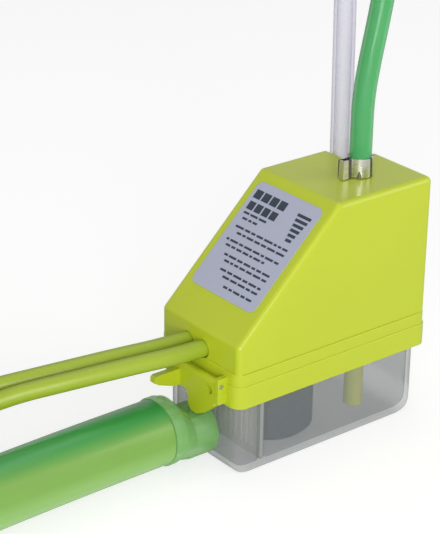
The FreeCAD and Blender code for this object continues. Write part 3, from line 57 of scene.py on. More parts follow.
log = logging.getLogger("condensate_pump")

Colour = tuple[float, float, float]
Point = tuple[float, float, float]
Route = tuple[Point, ...]
Array = np.ndarray
Piece = bpy.types.Object
Material = bpy.types.Material

UP = (0.0, 0.0, 1.0)
WHITE = (1.0, 1.0, 1.0, 1.0)
# The screen's curve: the end of its straight foot, the foot's slope, an offset and a power.
SRGB_FOOT, SRGB_SLOPE, SRGB_OFFSET, SRGB_POWER = 0.04045, 12.92, 0.055, 2.4
# The Mix node's sockets for colours: the factor, both colours and the result.
MIX_FACTOR, MIX_FIRST, MIX_SECOND, MIX_RESULT = 0, 6, 7, 2
# A wave texture's radians to a metre at a scale of 1, and its factor's output.
WAVE_RADIANS, WAVE_FACTOR = 20.0, 1
# A cord's spline: its order, its steps between two control points, and round its section.
SPLINE_ORDER, SPLINE_STEPS, SECTION_STEPS = 3, 8, 5
# The share of its radius to which a bar's last ring is drawn in.
CLOSED_END = 0.02


class Body(Enum):
    """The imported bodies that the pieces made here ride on."""

    HOUSING = "housing"
    RESERVOIR = "reservoir"
    PISTON = "piston"
    INLET_BALL = "inlet_ball"
    OUTLET_BALL = "outlet_ball"


def screen(red: int, green: int, blue: int) -> Colour:
    """A screen's colour as the linear values that Blender takes.

    A part below the foot is divided by its slope; above it, an offset share is raised to a power.

    Args:
        red: red, 0 to 255.
        green: green, 0 to 255.
        blue: blue, 0 to 255.

    Returns:
        The three linear values.
    """
    parts = np.array([red, green, blue]) / 255.0
    low = parts / SRGB_SLOPE
    high = ((parts + SRGB_OFFSET) / (1.0 + SRGB_OFFSET)) ** SRGB_POWER
    return tuple(float(value) for value in np.where(parts <= SRGB_FOOT, low, high))


def shade(colour: Colour, factor: float, lift: float = 0.0) -> Colour:
    """A darker or paler colour: each part times a factor, plus a lift, and 1 at most."""
    return tuple(min(1.0, part * factor + lift) for part in colour)


class Term:
    """A socket of a material that Python's arithmetic works on: an operation is a Math node."""

    def __init__(self, tree: bpy.types.NodeTree, socket: bpy.types.NodeSocket) -> None:
        """Keep the tree and the socket."""
        self.tree = tree
        self.socket = socket

    def _math(self, operation: str, first: "Operand", second: "Operand") -> "Term":
        """Add a Math node.

        Args:
            operation: the node's operation.
            first: its first operand.
            second: its second operand.

        Returns:
            The node's result.
        """
        node = self.tree.nodes.new("ShaderNodeMath")
        node.operation = operation
        for socket, part in zip(node.inputs, (first, second)):
            if isinstance(part, Term):
                self.tree.links.new(part.socket, socket)
            else:
                socket.default_value = part
        return Term(self.tree, node.outputs[0])

    def __add__(self, other: "Operand") -> "Term":
        """self + other."""
        return self._math("ADD", self, other)

    def __radd__(self, other: "Operand") -> "Term":
        """other + self."""
        return self._math("ADD", other, self)

    def __sub__(self, other: "Operand") -> "Term":
        """self - other."""
        return self._math("SUBTRACT", self, other)

    def __rsub__(self, other: "Operand") -> "Term":
        """other - self."""
        return self._math("SUBTRACT", other, self)

    def __mul__(self, other: "Operand") -> "Term":
        """self * other."""
        return self._math("MULTIPLY", self, other)

    def __rmul__(self, other: "Operand") -> "Term":
        """other * self."""
        return self._math("MULTIPLY", other, self)

    def __gt__(self, other: "Operand") -> "Term":
        """1 where self is greater than other, else 0."""
        return self._math("GREATER_THAN", self, other)


Operand = Union[Term, float]
Setting = Union[Term, float, Sequence[float]]


class Recipe:
    """A material in the making: one method adds any node, the others are its short forms."""

    def __init__(self, name: str) -> None:
        """Start an empty material that reads Object coordinates.

        Args:
            name: the material's name.
        """
        self.material = bpy.data.materials.new(name)
        self.material.use_nodes = True
        self.tree = self.material.node_tree
        self.tree.nodes.clear()
        self.place = self.node("TexCoord", out="Object")

    def node(self, kind: str, settings: Optional[dict] = None, inputs: Optional[dict] = None,
             out: Union[int, str] = 0) -> Term:
        """Add any node.

        Args:
            kind: the node's type, without the ShaderNode that all begin with.
            settings: its own settings, set first.
            inputs: the value of, or a link to, each socket named or numbered.
            out: the output that is wanted.

        Returns:
            That output.
        """
        made = self.tree.nodes.new("ShaderNode" + kind)
        for key, value in (settings or {}).items():
            setattr(made, key, value)
        for key, value in (inputs or {}).items():
            if isinstance(value, Term):
                self.tree.links.new(value.socket, made.inputs[key])
            else:
                made.inputs[key].default_value = value
        return Term(self.tree, made.outputs[out])

    def stretched(self, scale: Point) -> Term:
        """The Object coordinates, scaled unevenly so that a pattern draws out along an axis."""
        return self.node("Mapping", {}, {"Vector": self.place, "Scale": scale})

    def noise(self, scale: float, detail: float = 3.0, where: Optional[Term] = None) -> Term:
        """Cloudy noise from 0 to 1.

        Args:
            scale: how many blotches there are to a metre.
            detail: how many finer layers it has.
            where: the coordinates, if not the plain ones.

        Returns:
            The noise.
        """
        return self.node("TexNoise", {},
                         {"Vector": where or self.place, "Scale": scale, "Detail": detail})

    def cells(self, scale: float, settings: Optional[dict] = None) -> Term:
        """How far a point is from its Voronoi cell's middle, or as the settings say."""
        return self.node("TexVoronoi", settings, {"Vector": self.place, "Scale": scale},
                         out="Distance")

    def bands(self, direction: str, scale: float, where: Term, distortion: float = 0.0) -> Term:
        """A wave's bands that follow one another in a direction."""
        return self.node("TexWave", {"wave_type": "BANDS", "bands_direction": direction},
                         {"Vector": where, "Scale": scale, "Distortion": distortion},
                         out=WAVE_FACTOR)

    def clamp(self, value: Term) -> Term:
        """The value, held between 0 and 1."""
        return self.node("Clamp", {}, {"Value": value})

    def mix(self, factor: Operand, first: Setting, second: Setting) -> Term:
        """A colour between two others.

        Args:
            factor: the second one's share, 0 to 1.
            first: the first colour.
            second: the second colour.

        Returns:
            The colour between them.
        """
        ends = [part if isinstance(part, Term) else (*part, 1.0) for part in (first, second)]
        return self.node("Mix", {"data_type": "RGBA"},
                         {MIX_FACTOR: factor, MIX_FIRST: ends[0], MIX_SECOND: ends[1]},
                         out=MIX_RESULT)

    def bump(self, height: Term, depth: float, under: Optional[Term] = None) -> Term:
        """A Bump node.

        Args:
            height: the relief, 0 to 1.
            depth: how deep it is, in metres.
            under: a coarser bump below it.

        Returns:
            The bent normal.
        """
        below = {"Normal": under} if under else {}
        return self.node("Bump", {}, {"Height": height, "Distance": depth, **below})

    def close(self, shader: Term) -> Material:
        """Link a shader to the material's surface.

        Args:
            shader: the shader.

        Returns:
            The finished material.
        """
        output = self.tree.nodes.new("ShaderNodeOutputMaterial")
        self.tree.links.new(shader.socket, output.inputs["Surface"])
        return self.material

    def finish(self, colour: Setting, roughness: Operand, sockets: dict) -> Material:
        """Close the material with a Principled shader.

        Args:
            colour: base colour, plain or a Term.
            roughness: roughness, plain or a Term.
            sockets: any other sockets by name.

        Returns:
            The finished material.
        """
        base = colour if isinstance(colour, Term) else (*colour, 1.0)
        inputs = {"Base Color": base, "Roughness": roughness, **sockets}
        return self.close(self.node("BsdfPrincipled", {}, inputs))


@dataclass(frozen=True)
class Moulding:
    """Moulded plastic: fine spark-eroded grain, a slow drift in tone and rubs in the gloss."""

    name: str
    colour: Colour
    roughness: float = 0.4
    coat: float = 0.1
    grain: float = 1500.0
    depth: float = 0.000012
    drift: float = 0.10
    clouds: float = 22.0
    rubs: float = 160.0
    rubbing: float = 0.12

    def make(self) -> Material:
        """Build the material.

        Returns:
            The material.
        """
        recipe = Recipe(self.name)
        tone = recipe.noise(self.clouds, 2.0)
        colour = recipe.mix(tone, shade(self.colour, 1.0 - self.drift), self.colour)
        marks = recipe.noise(self.rubs, 4.0, recipe.stretched((1.0, 3.0, 0.6)))
        roughness = marks * self.rubbing + (self.roughness - self.rubbing / 2)
        relief = recipe.bump(recipe.noise(self.grain, 2.0), self.depth)
        return recipe.finish(colour, roughness, {
            "Normal": relief, "Coat Weight": self.coat, "Coat Roughness": 0.12})


@dataclass(frozen=True)
class ClearPlastic:
    """See-through plastic: thin where it is faced, denser at its edges, with flow lines and haze.

    Two colours ramp in along Object Z: painted shade darkens the upper side, and painted light
    from the floor pales the lower side. A level of 0 is the floor and 2 the height, and each ramp
    starts at a level, with a slope.
    """

    name: str
    colour: Colour
    faced: float
    edge: float
    roughness: float = 0.12
    flow: Point = (1.0, 1.0, 1.0)
    subsurface: float = 0.0
    # The upper colour is painted shade, the lower one painted light from the floor.
    painted_top_shade: Optional[Colour] = None
    foot: Optional[Colour] = None
    height: float = 0.03
    top_shade_level: float = 1.6
    top_shade_slope: float = 3.5
    floor_light_level: float = 1.2
    floor_light_slope: float = 1.3
    streaks: float = 60.0
    haze: float = 0.08
    ripples: float = 90.0
    ripple_depth: float = 0.00015

    def make(self) -> Material:
        """Build the material, with an opacity that follows the facing angle.

        Returns:
            The material.
        """
        recipe = Recipe(self.name)
        facing = recipe.node("LayerWeight", {}, {"Blend": 0.4}, out="Facing")
        streak = recipe.noise(self.streaks, 3.0, recipe.stretched(self.flow))
        colour = recipe.mix(streak, self.colour, shade(self.colour, 1.12, 0.02))
        # Painted shade on the upper side, painted floor light on the lower side.
        if self.painted_top_shade and self.foot:
            place = recipe.node("SeparateXYZ", {}, {"Vector": recipe.place}, out="Z")
            level = place * (2.0 / self.height)
            upper = recipe.clamp((level - self.top_shade_level) * self.top_shade_slope)
            lower = recipe.clamp((self.floor_light_level - level) * self.floor_light_slope)
            colour = recipe.mix(lower, recipe.mix(upper, colour, self.painted_top_shade), self.foot)
        opacity = facing * (self.edge - self.faced)
        opacity = opacity + (streak * self.haze + (self.faced - self.haze / 2))
        ripple = recipe.noise(self.ripples, 2.0, recipe.stretched(self.flow))
        relief = recipe.bump(ripple, self.ripple_depth)
        return recipe.finish(colour, streak * 0.1 + self.roughness, {
            "Alpha": opacity, "Normal": relief, "Coat Weight": 0.2, "Coat Roughness": 0.06,
            "Subsurface Weight": self.subsurface, "Subsurface Radius": (0.006, 0.008, 0.004),
            "Specular IOR Level": 0.35})


@dataclass(frozen=True)
class Metal:
    """Plated or turned metal with fine lines drawn along one axis and faint spots."""

    name: str
    colour: Colour
    roughness: float = 0.28
    lines: Point = (1.0, 1.0, 30.0)
    strokes: float = 400.0
    spots: float = 120.0
    sheen: float = 0.2

    def make(self) -> Material:
        """Build the material.

        Returns:
            The material.
        """
        recipe = Recipe(self.name)
        strokes = recipe.noise(self.strokes, 3.0, recipe.stretched(self.lines))
        colour = recipe.mix(recipe.noise(self.spots, 3.0), shade(self.colour, 0.75), self.colour)
        roughness = strokes * self.sheen + (self.roughness - self.sheen / 2)
        relief = recipe.bump(strokes, 0.00002)
        return recipe.finish(colour, roughness, {"Metallic": 1.0, "Normal": relief})


@dataclass(frozen=True)
class SlottedBand:
    """A bright clamp band with a row of pressed slots, lower than the strip and painted darker as
    shade.

    The wave's scale times the pitch is the same for every pitch.
    """

    name: str
    colour: Colour
    pitch: float = 0.0013
    scale_by_pitch: float = 0.18
    slot_level: float = 0.3

    def make(self) -> Material:
        """Build the material; the slots are the low parts of a wave along the band.

        Returns:
            The material.
        """
        recipe = Recipe(self.name)
        along = recipe.stretched((1.0, 1.0, 0.05))
        strip = recipe.bands("DIAGONAL", self.scale_by_pitch / self.pitch, along) > self.slot_level
        spots = recipe.noise(700.0, 3.0)
        # The slots' dark colour is painted shade in the recesses.
        colour = recipe.mix(strip, shade(self.colour, 0.22), self.colour)
        relief = recipe.bump(strip, 0.0002, recipe.bump(spots, 0.00003))
        return recipe.finish(colour, spots * 0.25 + 0.14, {"Metallic": 1.0, "Normal": relief})


@dataclass(frozen=True)
class Soft:
    """Rubber or foam: matt, with a pitted surface that is rubbed paler and rougher in places."""

    name: str
    colour: Colour
    roughness: float = 0.75
    pits: float = 900.0
    depth: float = 0.00006
    rubs: float = 60.0

    def make(self) -> Material:
        """Build the material.

        Returns:
            The material.
        """
        recipe = Recipe(self.name)
        relief = recipe.bump(recipe.cells(self.pits), self.depth)
        rubbed = recipe.noise(self.rubs, 3.0)
        colour = recipe.mix(rubbed * 0.6, self.colour, shade(self.colour, 1.5, 0.01))
        return recipe.finish(colour, rubbed * 0.15 + (self.roughness - 0.07), {"Normal": relief})


@dataclass(frozen=True)
class Wound:
    """Enamelled wire in level turns: bands up Z, each a wire wide, their dark part painted shade.
    """

    name: str
    colour: Colour
    wire: float = 0.0005

    def make(self) -> Material:
        """Build the material.

        Returns:
            The material.
        """
        recipe = Recipe(self.name)
        scale = 2.0 * math.pi / (WAVE_RADIANS * self.wire)
        bands = recipe.bands("Z", scale, recipe.place, 0.4)
        # The dark half of each band is painted shade in the groove between two turns.
        colour = recipe.mix(bands, shade(self.colour, 0.45), self.colour)
        relief = recipe.bump(bands, 0.0002)
        return recipe.finish(colour, 0.28, {"Metallic": 0.85, "Normal": relief, "Coat Weight": 0.6})


@dataclass(frozen=True)
class Circuit:
    """A coated circuit board: solder mask over tracks, with a scatter of bright pads."""

    name: str
    mask: Colour
    track: Colour
    pad: Colour
    track_scale: float = 260.0
    track_width: float = 0.09
    pad_scale: float = 330.0
    pad_radius: float = 0.16

    def make(self) -> Material:
        """Build the material; a track is a cell's edge and a pad is a cell's middle.

        Returns:
            The material.
        """
        recipe = Recipe(self.name)
        edges = {"distance": "MANHATTAN", "feature": "DISTANCE_TO_EDGE"}
        tracks = recipe.cells(self.track_scale, edges) > self.track_width
        bright = recipe.cells(self.pad_scale) > self.pad_radius
        colour = recipe.mix(bright, self.pad, recipe.mix(tracks, self.track, self.mask))
        relief = recipe.bump(tracks, 0.00004)
        return recipe.finish(colour, 0.3, {"Normal": relief, "Coat Weight": 0.4})


@dataclass(frozen=True)
class Film:
    """A printed film: a satin face with a very fine weave in its gloss and slight scuffs."""

    name: str
    colour: Colour
    roughness: float = 0.38
    scuffs: float = 90.0
    scuffing: float = 0.16
    weave: float = 2500.0

    def make(self) -> Material:
        """Build the material.

        Returns:
            The material.
        """
        recipe = Recipe(self.name)
        scuffs = recipe.noise(self.scuffs, 5.0)
        colour = recipe.mix(scuffs, self.colour, shade(self.colour, 1.08))
        relief = recipe.bump(recipe.noise(self.weave, 1.0), 0.00001)
        roughness = scuffs * self.scuffing + (self.roughness - self.scuffing / 2)
        return recipe.finish(colour, roughness, {"Normal": relief, "Coat Weight": 0.2})


Finish = Union[Moulding, ClearPlastic, Metal, SlottedBand, Soft, Wound, Circuit, Film]


class Finishes:
    """Every finish of the pump, made once and handed out by name."""

    LIME = Moulding("lime_moulding", screen(192, 206, 38), 0.34, 0.18)
    # A paler copy of the lime for the suction tube: painted light against the shade of the tub
    # round it.
    SUCTION = Moulding("lime_tube_painted_lit", screen(226, 228, 60))
    CABLE = Moulding("lime_sheath", screen(160, 182, 44), 0.46, grain=2200.0, drift=0.14)
    BLACK = Moulding("black_nylon", screen(34, 34, 36), 0.45, 0.0)
    WHITE = Moulding("white_nylon", screen(212, 212, 205))
    PRINT = Moulding("print_ink", screen(38, 50, 66), 0.5, 0.0)
    TUB = ClearPlastic("smoky_reservoir", screen(140, 145, 146), 0.09, 0.85, 0.08, (1.0, 1.0, 0.4))
    CUFF = ClearPlastic("pale_green_cuff", screen(136, 196, 112), 0.45, 0.95, 0.22,
                        (0.4, 1.0, 1.0), 0.1)
    # The last two colours are painted shade for the hose's upper side and painted floor light for
    # its lower side.
    HOSE = ClearPlastic("green_hose", screen(136, 184, 82), 0.62, 0.95, 0.18,
                        (0.15, 1.0, 1.0), 0.1, screen(66, 170, 80), screen(176, 222, 140))
    DISCHARGE = ClearPlastic("green_tube", screen(78, 180, 104), 0.62, 0.95, 0.16,
                             (1.0, 1.0, 0.15), 0.1)
    BREATHER = ClearPlastic("clear_tube", screen(200, 196, 218), 0.16, 0.75, 0.08, (1.0, 1.0, 0.2))
    BAND = SlottedBand("slotted_band", (0.66, 0.65, 0.62))
    STEEL = Metal("zinc_plate", (0.62, 0.63, 0.65), 0.3)
    BRASS = Metal("turned_brass", (0.72, 0.5, 0.2), 0.25)
    CAN = Metal("drawn_can", (0.75, 0.75, 0.77), 0.25)
    TIP = Metal("bare_copper", (0.8, 0.36, 0.18), 0.3, (1.0, 1.0, 1.0))
    COPPER = Wound("enamelled_winding", (0.7, 0.28, 0.1))
    RUBBER = Soft("black_rubber", screen(36, 36, 38), 0.7)
    FOAM = Soft("navy_foam", screen(12, 36, 60), 0.8, 1400.0, 0.0001)
    FERRITE = Soft("ferrite", screen(70, 70, 74), 0.6, 2500.0, 0.00002)
    BOARD = Circuit("coated_board", screen(24, 92, 48), screen(52, 130, 66), screen(190, 180, 120))
    LABEL = Film("label_film", screen(172, 176, 196))
    CORE_BROWN = Moulding("brown_core", screen(104, 62, 36))
    CORE_BLUE = Moulding("blue_core", screen(44, 84, 160))
    CORE_GREEN = Moulding("green_core", screen(66, 140, 60))

    _made: dict[str, Material] = {}

    @classmethod
    def get(cls, finish: Finish) -> Material:
        """Build a finish the first time that it is asked for.

        Args:
            finish: the finish.

        Returns:
            Its material.
        """
        if finish.name not in cls._made:
            cls._made[finish.name] = finish.make()
        return cls._made[finish.name]


def dress(item: Piece, *finishes: Finish) -> Piece:
    """Give a piece its materials.

    Args:
        item: the piece.
        finishes: one finish for each material slot.

    Returns:
        The same piece.
    """
    item.data.materials.clear()
    for finish in finishes:
        item.data.materials.append(Finishes.get(finish))
    return item


def linked(name: str, data: bpy.types.ID) -> Piece:
    """Put data into the scene.

    Args:
        name: the new object's name.
        data: its mesh, curve, camera or light.

    Returns:
        The object.
    """
    item = bpy.data.objects.new(name, data)
    bpy.context.scene.collection.objects.link(item)
    return item


def mesh_object(name: str, points: Array, faces: list, crease: float = 35.0) -> Piece:
    """Make a mesh piece.

    Args:
        name: its name.
        points: an array of n points, in metres.
        faces: lists of point numbers.
        crease: the angle in degrees past which an edge stays sharp.

    Returns:
        The piece, linked to the scene and shaded smooth up to that angle.
    """
    mesh = bpy.data.meshes.new(name)
    mesh.from_pydata(points.reshape(-1, 3).tolist(), [], faces)
    mesh.polygons.foreach_set("use_smooth", np.ones(len(mesh.polygons), bool))
    mesh.set_sharp_from_angle(angle=math.radians(crease))
    mesh.update()
    return linked(name, mesh)


def grid_faces(rows: int, columns: int, wrap_rows: bool, wrap_columns: bool) -> Array:
    """The quads of a grid of points: each joins a point to the next in its row and column.

    Args:
        rows: number of rows.
        columns: number of columns.
        wrap_rows: the last row joins the first.
        wrap_columns: the last column joins the first.

    Returns:
        An array with four point numbers for each quad.
    """
    row = np.arange(rows if wrap_rows else rows - 1)[:, None]
    column = np.arange(columns if wrap_columns else columns - 1)[None, :]
    below = (row + 1) % rows
    beside = (column + 1) % columns
    corners = (row * columns + column, below * columns + column,
               below * columns + beside, row * columns + beside)
    return np.stack([corner.reshape(-1) for corner in corners], axis=1)


def frames(path: Array, steady: Array) -> tuple[Array, Array, Array]:
    """The directions along and across a path.

    Along is the difference of neighbours; the other two are crosses with a fixed vector.

    Args:
        path: n points.
        steady: a vector that the path never runs along.

    Returns:
        Unit vectors along the path, across it, and at right angles to both.
    """
    ahead = np.gradient(path, axis=0)
    ahead /= np.linalg.norm(ahead, axis=1, keepdims=True)
    across = np.cross(ahead, steady)
    across /= np.linalg.norm(across, axis=1, keepdims=True)
    return ahead, across, np.cross(across, ahead)


def circle(across: Array, above: Array, around: int) -> Array:
    """Points round a circle of radius 1: one direction's cosine share plus the other's sine share.

    Args:
        across: one direction of the circle's plane, or n of them.
        above: the direction at right angles to it, or n of them.
        around: how many points there are.

    Returns:
        An array of circles by points by three, or of points by three for one circle.
    """
    angle = np.linspace(0.0, 2 * math.pi, around, endpoint=False)[:, None]
    return np.cos(angle) * across[..., None, :] + np.sin(angle) * above[..., None, :]


def capped_rows(name: str, points: Array) -> Piece:
    """A solid piece from rings of points in a row, with a flat face over the first and the last.

    Args:
        name: its name.
        points: an array of rings by points by three.

    Returns:
        The piece.
    """
    rows, around = points.shape[:2]
    faces = grid_faces(rows, around, False, True).tolist()
    last = (rows - 1) * around
    faces += [list(range(around)), list(range(last, last + around))[::-1]]
    return mesh_object(name, points, faces)


def capped_tube(name: str, path: Array, across: Array, above: Array,
                widths: Array, around: int = 20) -> Piece:
    """A solid round bar: a circle carried along a path, with a flat face at each end.

    Args:
        name: its name.
        path: n points.
        across: one direction across the path, or n of them.
        above: one direction at right angles to it and to the path, or n of them.
        widths: the circle's radius at each point.
        around: points round the circle.

    Returns:
        The piece.
    """
    ring = circle(across, above, around)
    return capped_rows(name, path[:, None] + widths[:, None, None] * ring)


def spline(name: str, points: Array, radius: float = 0.0) -> Piece:
    """A curve piece of one NURBS spline with the given points as its control points.

    Args:
        name: its name.
        points: control points, in metres.
        radius: the round section's radius, or 0 for a bare line.

    Returns:
        The curve.
    """
    curve = bpy.data.curves.new(name, "CURVE")
    curve.dimensions = "3D"
    line = curve.splines.new("NURBS")
    line.points.add(len(points) - 1)
    line.points.foreach_set("co", np.hstack([points, np.ones((len(points), 1))]).reshape(-1))
    line.order_u = SPLINE_ORDER
    line.use_endpoint_u = True
    line.resolution_u = SPLINE_STEPS
    curve.bevel_depth = radius
    curve.bevel_resolution = SECTION_STEPS
    curve.use_fill_caps = radius > 0
    return linked(name, curve)


def read_line(points: Array) -> Array:
    """Read the points that a NURBS spline runs through, from a curve with no section.

    Args:
        points: its control points.

    Returns:
        An array of n points.
    """
    line = spline("reading_line", points)
    bpy.context.view_layer.update()
    evaluated = line.evaluated_get(bpy.context.evaluated_depsgraph_get())
    mesh = bpy.data.meshes.new_from_object(evaluated)
    path = np.zeros(len(mesh.vertices) * 3)
    mesh.vertices.foreach_get("co", path)
    bpy.data.meshes.remove(mesh)
    curve = line.data
    bpy.data.objects.remove(line)
    bpy.data.curves.remove(curve)
    return path.reshape(-1, 3)


@dataclass
class Studio:
    """The camera at the photograph's place, three soft lamps, a pale floor and a pale world."""

    eye: Point = (-0.45513, -0.51846, 0.38041)
    azimuth: float = -38.74
    elevation: float = 24.42
    roll: float = 0.907
    lens: float = 128.47
    nearest: float = 0.01
    furthest: float = 50.0
    lamp_aim: Point = (0.0, 0.0, 0.06)
    floor_size: float = 6.0
    floor_drop: float = 0.0004
    floor_white: float = 0.9
    floor_glow: float = 1.35
    floor_glow_share: float = 0.5
    ambient: float = 0.32
    backdrop: float = 1.0
    mirrored: float = 0.75

    def camera(self) -> None:
        """Stand the camera: it looks back along the azimuth and elevation, turned by the roll."""
        turn, rise, roll = np.radians((self.azimuth, self.elevation, self.roll)).tolist()
        level = math.cos(rise)
        back = Vector((math.sin(turn) * level, -math.cos(turn) * level, math.sin(rise)))
        right = Vector((math.cos(turn), math.sin(turn), 0.0))
        up = back.cross(right)
        level_right = math.cos(roll) * right + math.sin(roll) * up
        level_up = math.cos(roll) * up - math.sin(roll) * right
        data = bpy.data.cameras.new("camera")
        data.lens = self.lens
        data.clip_start = self.nearest
        data.clip_end = self.furthest
        item = linked("camera", data)
        turned = Matrix((level_right, level_up, back)).transposed().to_4x4()
        item.matrix_world = Matrix.Translation(self.eye) @ turned
        bpy.context.scene.camera = item

    def lamp(self, name: str, place: Point, size: float, power: float) -> None:
        """Hang one square area lamp that faces the pump.

        Args:
            name: its name.
            place: where it is, in metres.
            size: the length of its side.
            power: its power in watts.
        """
        data = bpy.data.lights.new(name, "AREA")
        data.size = size
        data.energy = power
        item = linked(name, data)
        item.location = place
        aim = Vector(self.lamp_aim) - Vector(place)
        item.rotation_euler = aim.to_track_quat("-Z", "Y").to_euler()

    def world(self) -> None:
        """A white world for the camera and for see-through rays, and a dimmer one for light."""
        world = bpy.data.worlds.new("pale_world")
        bpy.context.scene.world = world
        world.use_nodes = True
        tree = world.node_tree
        tree.nodes.clear()
        rays = tree.nodes.new("ShaderNodeLightPath")
        seen = Term(tree, rays.outputs["Is Camera Ray"])
        glossy = Term(tree, rays.outputs["Is Glossy Ray"])
        through = Term(tree, rays.outputs["Is Transmission Ray"])
        strength = seen * self.backdrop + glossy * self.mirrored + through * self.backdrop
        plain = 1.0 - seen - glossy - through
        background = tree.nodes.new("ShaderNodeBackground")
        background.inputs["Color"].default_value = WHITE
        tree.links.new((strength + plain * self.ambient).socket, background.inputs["Strength"])
        output = tree.nodes.new("ShaderNodeOutputWorld")
        tree.links.new(background.outputs[0], output.inputs["Surface"])

    def floor(self) -> None:
        """A plain pale floor; what the camera sees of it is lifted towards the world's white.

        It goes down with the reservoir that stands on it, so that the dropped one shows whole.
        """
        half, low = self.floor_size / 2, -self.floor_drop
        corners = np.array([[-half, -half, low], [half, -half, low],
                            [half, half, low], [-half, half, low]])
        item = mesh_object("floor", corners, [[0, 1, 2, 3]])
        recipe = Recipe("pale_floor")
        seen = recipe.node("LightPath", out="Is Camera Ray")
        paint = (*[self.floor_white] * 3, 1.0)
        plain = recipe.node("BsdfDiffuse", {}, {"Color": paint})
        bright = recipe.node("Emission", {}, {"Color": WHITE, "Strength": self.floor_glow})
        share = seen * self.floor_glow_share
        lifted = recipe.node("MixShader", {}, {0: share, 1: plain, 2: bright})
        item.data.materials.append(recipe.close(lifted))
        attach(item, Body.RESERVOIR.value)

    def build(self) -> None:
        """Set up everything that isn't part of the pump."""
        bpy.context.scene.view_settings.view_transform = "Standard"
        self.camera()
        self.world()
        self.lamp("key_lamp", (-0.75, -0.95, 0.42), 0.7, 11.0)
        self.lamp("fill_lamp", (0.9, -0.8, 0.5), 0.8, 4.0)
        self.lamp("top_lamp", (0.1, 0.3, 1.3), 0.9, 3.0)
        self.floor()
        log.info("studio: camera, three lamps, floor and world")


